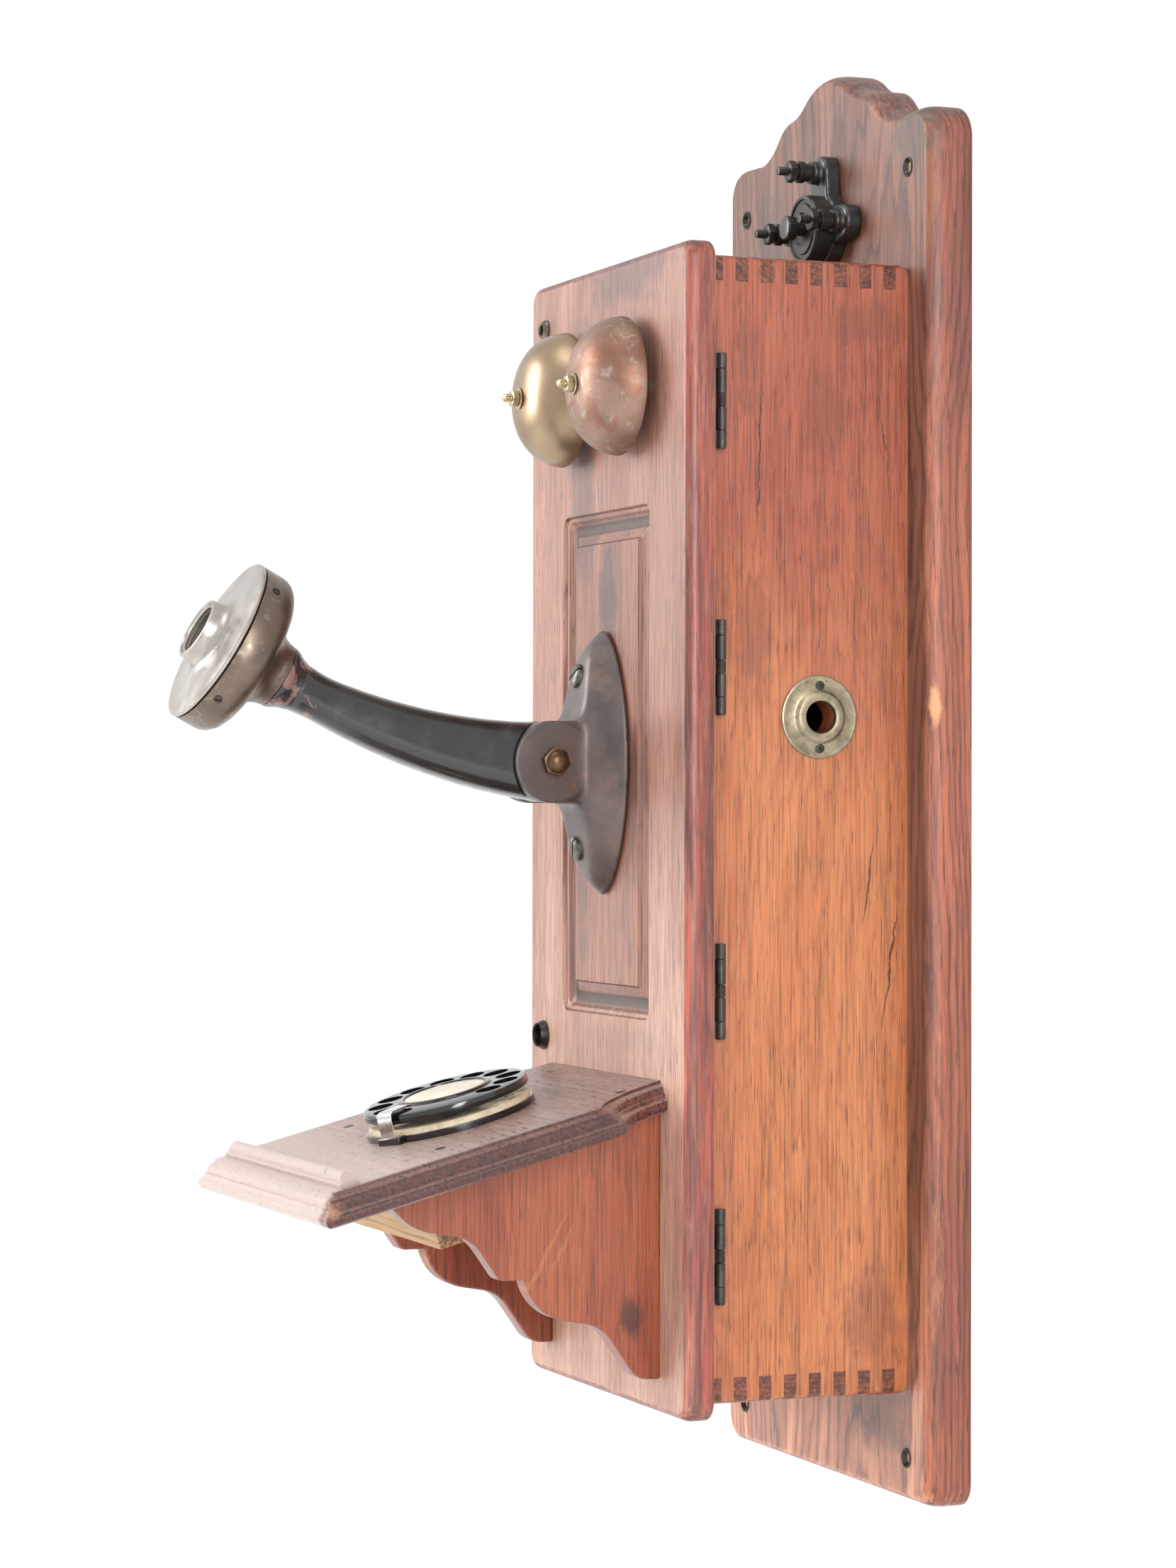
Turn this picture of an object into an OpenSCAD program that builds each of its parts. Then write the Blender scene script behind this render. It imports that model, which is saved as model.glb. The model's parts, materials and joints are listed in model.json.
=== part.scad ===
// Wooden wall telephone of the single-box kind, fitted with a rotary dial on its writing shelf.
// X runs to the right as the user sees it, the front faces -Y and Z is up.
// The origin is the middle of the four wall screws, on the wall face (y = 0).
// Heights in the settings are measured from the foot of the backboard.

/* [Backboard] */
// Width of the backboard
board_w = 229; // [225:1:240]
// Thickness of the backboard
board_t = 22.5; // [20:0.5:24]
// Height of the crest's front edge above the foot
crest_h = 676; // [670:1:700]
// How far the front edge stands in from the outline
board_inset = 5; // [4:0.5:6]
// Distance between the wall screws, across
screw_span_x = 184; // [180:1:186]
// Distance between the wall screws, up
screw_span_z = 602; // [600:1:606]
// Height of the lower wall screws
screw_low = 21; // [18:1:26]

/* [Box] */
// Width of the box
box_w = 184; // [184:0.5:186]
// Height of the box's underside
box_low = 51; // [48:1:53]
// Height of the box's top
box_high = 577; // [575:1:578]
// Depth of the box, from the backboard to the door
box_d = 100.4; // [98:0.4:104]
// Thickness of the box's boards
stock = 12; // [11:0.5:12.5]
// Number of fingers in each corner joint
fingers = 8; // [6:1:9]

/* [Door] */
// Width of the door
door_w = 199.4; // [199:0.2:201]
// Thickness of the door
door_t = 14.2; // [13.6:0.2:15]
// Width of the routed panel
panel_w = 109; // [106:1:112]
// Height of the routed panel's foot
panel_low = 224.5; // [222:0.5:226]
// Height of the routed panel's head
panel_high = 465; // [463:0.5:467]
// Depth of the routed groove
groove_depth = 5; // [4:0.5:6]

/* [Bells] */
// Outer radius of a bell
bell_r = 32.5; // [31.5:0.5:33]
// Distance between the bells' middles
bell_span = 71.4; // [71.4:0.2:73]
// Height of the bells' middles
bell_h = 521; // [520:1:523]
// Depth of a bell
bell_depth = 24; // [22:1:26]

/* [Transmitter] */
// Height of the arm's pivot
pivot_h = 345; // [343:1:347]
// Tilt of the transmitter's face above level
face_tilt = 29; // [27:1:31]
// Outer radius of the transmitter
cup_r = 40; // [39:0.5:41]
// Inner radius of the mouthpiece socket
socket_r = 11.5; // [11:0.5:12]

/* [Shelf] */
// Width of the writing shelf
shelf_w = 200; // [196:1:202]
// Length of the shelf down its slope
shelf_l = 180; // [178:1:184]
// Thickness of the shelf
shelf_t = 14; // [13:0.5:14]
// Slope of the shelf
shelf_slope = 15; // [14:0.5:16]
// Height of the shelf's top where it meets the door
shelf_h = 198; // [197:1:200]

/* [Dial] */
// Radius of the finger wheel
wheel_r = 39.5; // [39:0.25:40]
// Radius of a finger hole
finger_r = 6.2; // [5.8:0.1:6.4]
// Distance down the slope to the dial's middle
dial_down = 80; // [78:1:82]

/* [Hidden] */

$fn = 64;
fit = 0.05;       // radial clearance of a running fit
seat = 0.05;      // radial clearance round a screw
touch = 0.01;     // overshoot of a cut

origin_h = screw_low + screw_span_z / 2;
box_front = board_t + box_d;
door_gap = 0.4;
door_back = box_front + door_gap;
door_front = door_back + door_t;
door_low = box_low - 7;
door_high = box_high + 6;
half_box = box_w / 2;

screw_hole_r = 2.4;
screw_cup_r = 4.6;
cup_deep = 3;
edge_r = 3;

// ---------- general helpers ----------

// Heights below are measured from the foot of the backboard.
module raised() { translate([0, 0, -origin_h]) children(); }

// Puts a shape drawn in its own XY plane onto a plane that faces the front.
module on_front(x, y_face, z) { translate([x, -y_face, z]) rotate([90, 0, 0]) children(); }

// Puts a shape drawn in its own XY plane onto a plane that faces right.
module on_right(x_face, y, z) { translate([x_face, y, z]) rotate([0, 90, 0]) children(); }

// Extrudes an outline in X and Z between two depths from the wall.
module slab(from, to) {
    translate([0, -from, 0]) rotate([90, 0, 0]) linear_extrude(to - from) children();
}

// A block between two corners.
module block(a, b) { translate(a) cube(b - a); }

// A rectangle with round corners, from its two corners, made of exact arcs.
module round_rect(a, b, r) {
    translate(a + [r, 0]) square([b.x - a.x - 2 * r, b.y - a.y]);
    translate(a + [0, r]) square([b.x - a.x, b.y - a.y - 2 * r]);
    for (x = [a.x + r, b.x - r], y = [a.y + r, b.y - r])
        translate([x, y]) circle(r);
}

// Outline by walking: each step is [radius, turn], or [length, 0] for a straight one.
// A turn to the left is positive, and a radius of 0 only turns.
function step_points(p, h, s) =
    s[1] == 0 ? [p + s[0] * [cos(h), sin(h)]]
    : s[0] == 0 ? []
    : let (n = ceil(abs(s[1]) / 8), side = sign(s[1]), c = p + s[0] * side * [-sin(h), cos(h)])
      [for (i = [1:n]) let (a = h + s[1] * i / n) c - s[0] * side * [-sin(a), cos(a)]];
function walk(p, h, steps, i = 0) =
    i >= len(steps) ? []
    : let (pts = step_points(p, h, steps[i]), q = len(pts) > 0 ? pts[len(pts) - 1] : p)
      concat(pts, walk(q, h + steps[i][1], steps, i + 1));
function mirrored(pts) = [for (i = [len(pts) - 1:-1:0]) [-pts[i].x, pts[i].y]];

// ---------- backboard ----------

crest_steps = [[40, -35], [36, 30], [20, -40], [40, 47], [16.4, 0], [11, -92]];
crest_span = 110.3;
foot_r = 10;
// The board's edge from the wall: [depth where a step starts, how far it stands in].
board_steps = [[0, 1], [2.5, 0], [14, 1.2], [19, 4]];

// Half outline of the board, standing d outside its front edge line.
function half_board(d) =
    let (k = (board_w / 2 - board_inset) / crest_span,
         steps = [for (s = crest_steps) s[1] == 0 ? s * k : [s[0] * k + (s[1] < 0 ? d : -d), s[1]]],
         top = walk([0, crest_h + d], 0, steps),
         side = board_w / 2 - board_inset + d,
         foot = board_inset - d)
    concat([[0, crest_h + d]], [for (p = top) [min(p.x, side), p.y]],
           [for (a = [0:-10:-90]) [side - foot_r + foot_r * cos(a), foot + foot_r + foot_r * sin(a)]]);
module board_outline(d) { polygon(concat(half_board(d), mirrored(half_board(d)))); }

module at_wall_screws() {
    for (x = [-1, 1], z = [screw_low, screw_low + screw_span_z])
        on_front(x * screw_span_x / 2, 0, z) children();
}

module backboard() color("saddlebrown") raised() difference() {
    union() {
        for (i = [0:len(board_steps) - 1])
            let (far = i + 1 < len(board_steps) ? board_steps[i + 1][0] : board_t)
                slab(board_steps[i][0], far) board_outline(board_inset - board_steps[i][1]);
    }
    at_wall_screws() translate([0, 0, -touch]) cylinder(r = screw_hole_r, h = board_t + 1);
    at_wall_screws() translate([0, 0, board_t - cup_deep]) cylinder(r = screw_cup_r + seat, h = cup_deep + 1);
}

module wall_screw_cups() color("dimgray") raised() at_wall_screws()
    translate([0, 0, board_t - cup_deep]) difference() {
        cylinder(r = screw_cup_r, h = 3.6);
        translate([0, 0, -touch]) cylinder(r = screw_hole_r, h = 5);
        translate([0, 0, 1.2]) cylinder(r1 = screw_hole_r, r2 = 4, h = 2.5);
    }

// ---------- box ----------

finger_pitch = box_d / fingers;

// The box's outside, with its long edges rounded.
module box_envelope() {
    slab(board_t, box_front) round_rect([-half_box, box_low], [half_box, box_high], edge_r);
}

// The end-grain fingers that the top and bottom boards leave in the sides.
module finger_blocks(z0, z1) {
    for (i = [0:fingers - 1]) let (y = -box_front + i * finger_pitch)
        block([-half_box - 1, y - touch, z0], [half_box + 1, y + finger_pitch / 2, z1]);
}

module box_side(side) intersection() {
    box_envelope();
    difference() {
        block([side > 0 ? half_box - stock : -half_box, -box_front, box_low],
              [side > 0 ? half_box : -half_box + stock, -board_t, box_high]);
        finger_blocks(box_low - 1, box_low + stock);
        finger_blocks(box_high - stock, box_high + 1);
    }
}

module box_end(z0, z1) intersection() {
    box_envelope();
    union() {
        block([-half_box + stock, -box_front, z0], [half_box - stock, -board_t, z1]);
        intersection() {
            finger_blocks(z0, z1);
            block([-half_box, -box_front, z0], [half_box, -board_t, z1]);
        }
    }
}

hook_y = -72;
hook_h = 430;
hook_slot_w = 10;
hook_slot_h = 30;
crank_y = -68;
crank_h = 365.5;
crank_bore_r = 7.5;

module box_left_side() color("peru") raised() difference() {
    box_side(-1);
    block([-half_box - 1, hook_y - hook_slot_w / 2, hook_h - hook_slot_h / 2],
          [-half_box + stock + 1, hook_y + hook_slot_w / 2, hook_h + hook_slot_h / 2]);
}

hinge_x = half_box + 2.6;
hinge_y = -118.3;
hinge_heights = [510, 388, 240, 119];
hinge_l = 43;
hinge_leaf_t = 1.2;
barrel_r = 2.3;
hinge_pin_r = 1.2;
leaf_in = 10;

module box_right_side() color("peru") raised() difference() {
    box_side(1);
    on_right(half_box - stock - 1, crank_y, crank_h) cylinder(r = crank_bore_r, h = stock + 2);
    for (h = hinge_heights)
        block([half_box - leaf_in, -box_front - 1, h - hinge_l / 2],
              [half_box + 1, -box_front + hinge_leaf_t, h + hinge_l / 2]);
    for (x = [-1, 1])
        on_right(half_box - 6, crank_y, crank_h + x * plate_screw_ring)
            cylinder(r = plate_screw_r + seat, h = 8);
}

module box_top() color("peru") raised() box_end(box_high - stock, box_high);
module box_bottom() color("peru") raised() box_end(box_low, box_low + stock);

// ---------- hinges ----------

// Knuckles along a hinge as [start, length]: the box holds the ends and the middle.
knuckle_gap = 0.25;
box_knuckles = [[0, 6], [18.5, 6], [37, 6]];
door_knuckles = [[6, 12.5], [24.5, 12.5]];

module knuckle(k) {
    translate([hinge_x, hinge_y, k[0] + knuckle_gap / 2]) cylinder(r = barrel_r, h = k[1] - knuckle_gap);
}

module hinge_half(knuckles, plate_y0, plate_y1, web_x) {
    for (h = hinge_heights) translate([0, 0, h - hinge_l / 2]) difference() {
        union() {
            block([half_box - leaf_in, plate_y0, 0.1], [web_x, plate_y1, hinge_l - 0.1]);
            for (k = knuckles) {
                knuckle(k);
                block([web_x - hinge_leaf_t, plate_y0, k[0] + knuckle_gap / 2],
                      [web_x, hinge_y, k[0] + k[1] - knuckle_gap / 2]);
            }
        }
        translate([hinge_x, hinge_y, -1]) cylinder(r = hinge_pin_r + fit, h = hinge_l + 2);
    }
}

module hinge_box_leaves() color("darkolivegreen") raised()
    hinge_half(box_knuckles, -box_front, -box_front + hinge_leaf_t, hinge_x - hinge_pin_r - 0.2);
module hinge_door_leaves() color("darkolivegreen") raised()
    hinge_half(door_knuckles, -door_back - hinge_leaf_t, -door_back, hinge_x + barrel_r);
module hinge_pins() color("gray") raised()
    for (h = hinge_heights) translate([hinge_x, hinge_y, h - hinge_l / 2 - 0.8]) {
        cylinder(r = hinge_pin_r, h = hinge_l + 0.8);
        cylinder(r = barrel_r - 0.3, h = 0.8);
    }

// ---------- crank plate ----------

plate_r = 19.2;
plate_t = 1.6;
plate_screw_ring = 14.5;
plate_screw_r = 1.3;

module crank_escutcheon() color("darkkhaki") raised() on_right(half_box, crank_y, crank_h) difference() {
    union() {
        cylinder(r = plate_r, h = plate_t);
        cylinder(r1 = 11.5, r2 = 9.5, h = 3.2);
    }
    translate([0, 0, -1]) cylinder(r = crank_bore_r, h = 6);
    for (x = [-1, 1])
        translate([x * plate_screw_ring, 0, -1]) cylinder(r = plate_screw_r + seat, h = 4);
}

module escutcheon_screws() color("gray") raised() on_right(half_box, crank_y, crank_h)
    for (x = [-1, 1]) translate([x * plate_screw_ring, 0, 0]) {
        translate([0, 0, -5]) cylinder(r = plate_screw_r, h = 5 + plate_t);
        translate([0, 0, plate_t]) difference() {
            cylinder(r = 2.3, h = 0.9);
            block([-2.5, -0.3, 0.4], [2.5, 0.3, 1]);
        }
    }

// ---------- line terminals above the box ----------

arrester_x = 10;
arrester_h = 604;
post_places = [[0, 27.5], [24.5, 1], [-25.5, 0.5]];
lobe_t = 8;
post_r = 5.2;
post_l = 12.5;
stud_r = 2.4;
stud_tip_r = 2.2;
stud_l = 9;
nut_high = 4;
disc_r = 16.5;
disc_t = 9;

module at_posts() {
    for (p = post_places) on_front(arrester_x + p.x, board_t, arrester_h + p.y) children();
}

module arrester_base() color("darkslategray") raised() difference() {
    union() {
        for (p = post_places) hull() {
            on_front(arrester_x + p.x, board_t, arrester_h + p.y) cylinder(r = 8.5, h = lobe_t, $fn = 32);
            on_front(arrester_x, board_t, arrester_h) cylinder(r = 12, h = lobe_t, $fn = 32);
        }
        on_front(arrester_x, board_t, arrester_h) cylinder(r = disc_r + 1.5, h = lobe_t);
    }
    at_posts() translate([0, 0, 1]) cylinder(r = stud_r + seat, h = lobe_t);
}

module arrester_disc() color("dimgray") raised() on_front(arrester_x, board_t + lobe_t, arrester_h)
    difference() {
        cylinder(r = disc_r, h = disc_t);
        translate([0, 0, disc_t - 1]) difference() {
            cylinder(r = disc_r - 2.5, h = 2);
            translate([0, 0, -1]) cylinder(r = disc_r - 4, h = 4);
        }
        translate([0, 0, 2]) cylinder(r = 2.5 + seat, h = disc_t);
    }

module arrester_knob() color("darkslategray") raised()
    on_front(arrester_x, board_t + lobe_t, arrester_h) {
        translate([0, 0, 2]) cylinder(r = 2.5, h = disc_t);
        translate([0, 0, disc_t]) cylinder(r = 3.6, h = 4);
        translate([0, 0, disc_t + 4]) cylinder(r = 5.9, h = 5);
    }

module binding_posts() color("dimgray") raised() at_posts() {
    translate([0, 0, 1]) cylinder(r = stud_r, h = lobe_t - 1 + touch);
    translate([0, 0, lobe_t]) cylinder(r = post_r, h = post_l);
    translate([0, 0, lobe_t + post_l - touch]) cylinder(r = stud_r, h = nut_high + touch);
    translate([0, 0, lobe_t + post_l]) cylinder(r = stud_tip_r, h = stud_l);
}

module binding_nuts() color("black") raised() at_posts() translate([0, 0, lobe_t + post_l]) difference() {
    cylinder(r = 5.6, h = nut_high, $fn = 6);
    translate([0, 0, -1]) cylinder(r = stud_r + seat, h = nut_high + 2);
}

// ---------- receiver hook and its switch ----------

hook_pivot = [-62, hook_y, hook_h];
hook_pin_r = 2;
lever_t = 4;
contact_pitch = 2.5;

module hook_plate() color("darkkhaki") raised()
    translate([-half_box - 1.5, 0, 0]) difference() {
        block([0, hook_y - 12, hook_h - 26], [1.5, hook_y + 12, hook_h + 26]);
        block([-1, hook_y - hook_slot_w / 2, hook_h - hook_slot_h / 2],
              [3, hook_y + hook_slot_w / 2, hook_h + hook_slot_h / 2]);
    }

// A bracket on the left side's inner face, with two ears for the lever's pin.
module hook_frame() color("dimgray") raised() difference() {
    union() {
        block([-half_box + stock, hook_y - 9, hook_h - 46], [-half_box + stock + 2, hook_y + 9, hook_h - 17]);
        for (s = [-1, 1]) let (y = hook_y + s * (lever_t / 2 + 1.6)) {
            block([-half_box + stock, y - 1, hook_h - 46], [hook_pivot.x + 6, y + 1, hook_h - 17]);
            block([hook_pivot.x - 6, y - 1, hook_h - 17 - touch], [hook_pivot.x + 6, y + 1, hook_h + 6]);
        }
    }
    translate([hook_pivot.x, hook_y + 10, hook_h]) rotate([90, 0, 0]) cylinder(r = hook_pin_r, h = 20);
}

module hook_pin() color("silver") raised()
    translate([hook_pivot.x, hook_y + 6, hook_h]) rotate([90, 0, 0]) cylinder(r = hook_pin_r - 0.01, h = 12);

// A stack of contact springs on the frame, below the lever's inner end.
module hook_contacts() color("goldenrod") raised() {
    block([hook_pivot.x + 6, hook_y - 6, hook_h - 46], [hook_pivot.x + 14, hook_y + 6, hook_h - 38]);
    for (x = [7:contact_pitch:12])
        block([hook_pivot.x + x, hook_y - 4, hook_h - 38],
              [hook_pivot.x + x + 0.6, hook_y + 4, hook_h - 14]);
}

fork_x = -half_box - 44;
fork_gap = 19;
tine_r = 2.6;

// The lever: a flat bar with a bored eye, and a fork of two tines with upturned tips.
module hook_lever() color("dimgray") raised() difference() {
    union() {
        translate([hook_pivot.x, hook_y + lever_t / 2, hook_h]) rotate([90, 0, 0])
            cylinder(r = 5.5, h = lever_t);
        block([-half_box - 16, hook_y - lever_t / 2, hook_h - 4],
              [hook_pivot.x, hook_y + lever_t / 2, hook_h + 4]);
        block([hook_pivot.x, hook_y - lever_t / 2, hook_h - 3],
              [hook_pivot.x + 16, hook_y + lever_t / 2, hook_h + 3]);
        block([-half_box - 20, hook_y - fork_gap / 2 - tine_r, hook_h - 4],
              [-half_box - 14, hook_y + fork_gap / 2 + tine_r, hook_h + 4]);
        for (s = [-1, 1]) translate([0, hook_y + s * (fork_gap / 2 + tine_r), hook_h]) {
            translate([fork_x, 0, 0]) rotate([0, 90, 0]) cylinder(r = tine_r, h = -half_box - 15 - fork_x);
            translate([fork_x, 0, 0]) cylinder(r = tine_r, h = 9);
            translate([fork_x, 0, 0]) sphere(tine_r);
            translate([fork_x, 0, 9]) sphere(tine_r + 0.6);
        }
    }
    translate([hook_pivot.x, hook_y + 10, hook_h]) rotate([90, 0, 0]) cylinder(r = hook_pin_r + fit, h = 20);
}

// ---------- parts on the inside of the backboard ----------

module induction_coil() color("darkred") raised() {
    for (x = [-36, 36]) block([x - 3, -board_t - 30, 285], [x + 3, -board_t, 315]);
    translate([-33, -board_t - 15, 300]) rotate([0, 90, 0]) cylinder(r = 12, h = 66);
}

module condenser() color("slategray") raised() {
    block([-30, -board_t - 26, 165], [30, -board_t, 240]);
    for (x = [-12, 12]) translate([x, -board_t - 13, 240]) cylinder(r = 3, h = 5);
}

module terminal_strip() color("burlywood") raised() {
    block([-50, -board_t - 8, 100], [50, -board_t, 125]);
    for (x = [-40:16:40]) on_front(x, board_t + 8, 112) {
        cylinder(r = 4, h = 1);
        translate([0, 0, 1]) cylinder(r = 2.8, h = 2.5);
    }
}

// ---------- door ----------

// The door's edge from the back: [depth where a step starts, how far it stands in].
door_steps = [[0, 1.4], [2, 0], [9, 1.2], [12, 3]];
panel_frame = 15.5;
door_corner_r = 9;
clapper_h = bell_h - 14;
clapper_slot = [15, 11];
post_bore_r = 2.5;

module door_outline(d) {
    round_rect([-door_w / 2 + d, door_low + d], [door_w / 2 - d, door_high - d], door_corner_r - d);
}

module panel_rect(d, r) {
    round_rect([-panel_w / 2 + d, panel_low + d], [panel_w / 2 - d, panel_high - d], r);
}

grommet_x = -79.5;
grommet_h = 211;
upper_grommet_x = -78.5;
upper_grommet_h = 560;
grommet_bore_r = 5.15;
arm_screw_out = 41;
arm_screw_r = 2.5;

module door() color("sienna") raised() difference() {
    union() {
        for (i = [0:len(door_steps) - 1])
            let (far = i + 1 < len(door_steps) ? door_back + door_steps[i + 1][0] : door_front)
                slab(door_back + door_steps[i][0], far) door_outline(door_steps[i][1]);
    }
    difference() {
        slab(door_front - groove_depth, door_front + 1) panel_rect(2, 4);
        slab(door_front - groove_depth - 1, door_front + 2) panel_rect(panel_frame - 3.5, 0.5);
    }
    slab(door_front - 2.5, door_front + 1) difference() {
        panel_rect(0, 5);
        panel_rect(panel_frame - 1.5, 0.5);
    }
    slab(door_back - 1, door_front + 1) translate([0, clapper_h]) square(clapper_slot, center = true);
    for (x = [-1, 1]) on_front(x * bell_span / 2, door_back - 1, bell_h)
        cylinder(r = post_bore_r + seat, h = door_t + 2);
    on_front(grommet_x, door_back - 1, grommet_h) cylinder(r = grommet_bore_r + 1 + seat, h = door_t + 2);
    on_front(upper_grommet_x, door_back - 1, upper_grommet_h) cylinder(r = 2.6 + 1 + seat, h = door_t + 2);
    for (h = hinge_heights)
        block([half_box - leaf_in, -door_back - hinge_leaf_t, h - hinge_l / 2],
              [hinge_x + barrel_r, -door_back + 1, h + hinge_l / 2]);
    for (z = [-1, 1]) on_front(0, door_front - 9, pivot_h + z * arm_screw_out)
        cylinder(r = arm_screw_r + seat, h = 12);
}

// A turned ferrule through the door, with a lip on the front.
module ferrule(bore_r, lip_r, lip_t) {
    difference() {
        union() {
            cylinder(r = bore_r + 1, h = door_t);
            translate([0, 0, door_t]) cylinder(r = lip_r, h = lip_t);
        }
        translate([0, 0, -1]) cylinder(r = bore_r, h = door_t + lip_t + 2);
    }
}
module cord_grommet() color("dimgray") raised() on_front(grommet_x, door_back, grommet_h)
    ferrule(grommet_bore_r, 6.6, 4);
module upper_grommet() color("dimgray") raised() on_front(upper_grommet_x, door_back, upper_grommet_h)
    ferrule(2.6, 4.8, 3);

// ---------- bells ----------

bell_stand = 6.5;
bell_rim = door_front + bell_stand;
bell_wall = 1.6;

// Half section of a bell, from its rim to its crown: a quarter of an oval.
function bell_arc(r, h) = [for (a = [0:6:90]) [r * pow(cos(a), 0.8), h * sin(a)]];
module bell() rotate_extrude() difference() {
    polygon(concat(bell_arc(bell_r, bell_depth), [[0, 0]]));
    translate([0, -touch]) polygon(concat(bell_arc(bell_r - bell_wall, bell_depth - bell_wall), [[0, 0]]));
    translate([-1, -1]) square([1 + 2 + seat, bell_depth + 2]);
}
module at_bell(side) { on_front(side * bell_span / 2, bell_rim, bell_h) children(); }
module bell_left() color("goldenrod") raised() at_bell(-1) bell();
module bell_right() color("rosybrown") raised() at_bell(1) bell();

module bell_posts() color("darkgoldenrod") raised() for (side = [-1, 1]) {
    on_front(side * bell_span / 2, door_back - 2, bell_h) cylinder(r = post_bore_r, h = door_t + 2);
    on_front(side * bell_span / 2, door_front, bell_h)
        cylinder(r = 5, h = bell_stand + bell_depth - bell_wall - 0.3);
    on_front(side * bell_span / 2, door_front + 8, bell_h)
        cylinder(r = 2, h = bell_stand + bell_depth - 2.5);
}
module bell_nuts() color("gold") raised() for (side = [-1, 1]) at_bell(side)
    translate([0, 0, bell_depth + 0.1]) difference() {
        union() {
            cylinder(r = 4.4, h = 0.8);
            translate([0, 0, 0.8]) cylinder(r = 4, h = 3, $fn = 6);
        }
        translate([0, 0, -1]) cylinder(r = 2 + seat, h = 6);
    }

// ---------- ringer behind the door ----------

clapper_pivot_h = bell_h - 50;
ringer_y = -door_back + 24;
ringer_pin_r = 1.5;
coil_r = 9;
coil_l = 38;
armature_h = clapper_pivot_h - 4;

module ringer_frame() color("dimgray") raised() difference() {
    union() {
        block([-28, -door_back, clapper_pivot_h - 62], [28, -door_back + 2, clapper_pivot_h + 10]);
        block([-28, -door_back + 2, clapper_pivot_h - 62], [28, ringer_y + 12, clapper_pivot_h - 58]);
        for (y = [ringer_y - 8, ringer_y + 8])
            block([-5, y - 1, clapper_pivot_h - 8], [5, y + 1, clapper_pivot_h + 6]);
        block([-5, -door_back + 2, clapper_pivot_h - 8], [5, ringer_y - 7, clapper_pivot_h - 5]);
        block([-2.5, ringer_y - 9, clapper_pivot_h - 58], [2.5, ringer_y - 7, clapper_pivot_h - 5]);
        block([-2.5, ringer_y + 7, clapper_pivot_h - 58], [2.5, ringer_y + 9, clapper_pivot_h - 5]);
    }
    translate([0, ringer_y + 20, clapper_pivot_h]) rotate([90, 0, 0]) cylinder(r = ringer_pin_r, h = 40);
}

module ringer_pin() color("silver") raised()
    translate([0, ringer_y + 10, clapper_pivot_h]) rotate([90, 0, 0])
        cylinder(r = ringer_pin_r - 0.01, h = 20);

module ringer_coils() color("darkgreen") raised() for (x = [-1, 1])
    translate([x * 16, ringer_y, clapper_pivot_h - 58]) {
        cylinder(r = 4, h = coil_l + 7);
        cylinder(r = coil_r + 1, h = 1.5);
        translate([0, 0, 1.5]) cylinder(r = coil_r, h = coil_l);
        translate([0, 0, 1.5 + coil_l]) cylinder(r = coil_r + 1, h = 1.5);
    }

// The clapper: an armature over the coils, a rod up behind the door and a ball between the bells.
clapper_ball_r = 3.4;
module clapper() color("goldenrod") raised() difference() {
    union() {
        translate([0, ringer_y + 4, clapper_pivot_h]) rotate([90, 0, 0]) cylinder(r = 3.5, h = 8);
        block([-24, ringer_y - 4, armature_h - 3.5], [24, ringer_y + 4, armature_h + 1]);
        translate([0, ringer_y, clapper_pivot_h + 3]) cylinder(r = 1.2, h = clapper_h - clapper_pivot_h - 3);
        translate([0, ringer_y, clapper_h]) sphere(1.2);
        translate([0, -bell_rim - 3, clapper_h]) rotate([-90, 0, 0])
            cylinder(r = 1.2, h = bell_rim + 3 + ringer_y);
        translate([0, -bell_rim - 3, clapper_h]) sphere(clapper_ball_r);
    }
    translate([0, ringer_y + 10, clapper_pivot_h]) rotate([90, 0, 0])
        cylinder(r = ringer_pin_r + fit, h = 20);
}

// ---------- transmitter arm ----------

pivot_out = 170;
lug_r = 19.5;
cheek_in = 9.2;
cheek_out = 17.5;
tongue_half = cheek_in - 0.5;
pivot_r = 4;
base_half_h = 63;
base_half_w = 30.5;
base_rise = 19;

// Radius of the arc through the ends and the top of a bow.
function bow_r(half, rise) = (half * half + rise * rise) / (2 * rise);

module on_pivot(x) { translate([x, -pivot_out, pivot_h]) rotate([0, 90, 0]) children(); }

module arm_base() color("darkslategray") raised() difference() {
    union() {
        intersection() {
            slab(door_front, door_front + base_rise) intersection() {
                translate([base_half_w - bow_r(base_half_h, base_half_w), pivot_h])
                    circle(bow_r(base_half_h, base_half_w), $fn = 180);
                translate([bow_r(base_half_h, base_half_w) - base_half_w, pivot_h])
                    circle(bow_r(base_half_h, base_half_w), $fn = 180);
            }
            translate([-50, -door_front - base_rise + bow_r(base_half_h + 2, base_rise), pivot_h])
                rotate([0, 90, 0]) cylinder(r = bow_r(base_half_h + 2, base_rise), h = 100, $fn = 180);
            translate([0, -door_front - base_rise + bow_r(base_half_w + 2, base_rise), pivot_h - 80])
                cylinder(r = bow_r(base_half_w + 2, base_rise), h = 160, $fn = 180);
        }
        for (side = [-1, 1]) {
            on_pivot(side > 0 ? cheek_in : -cheek_out) cylinder(r = lug_r, h = cheek_out - cheek_in);
            block([side > 0 ? cheek_in : -cheek_out, -pivot_out, pivot_h - lug_r],
                  [side > 0 ? cheek_out : -cheek_in, -door_front - 4, pivot_h + lug_r]);
        }
    }
    on_pivot(-30) cylinder(r = pivot_r + seat, h = 60);
    on_pivot(-cheek_in) cylinder(r = lug_r + 0.8, h = 2 * cheek_in);
    for (z = [-1, 1]) on_front(0, door_front - 1, pivot_h + z * arm_screw_out) {
        cylinder(r = arm_screw_r + seat, h = 30);
        translate([0, 0, 10]) cylinder(r = 5.6, h = 20);
    }
}

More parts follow.
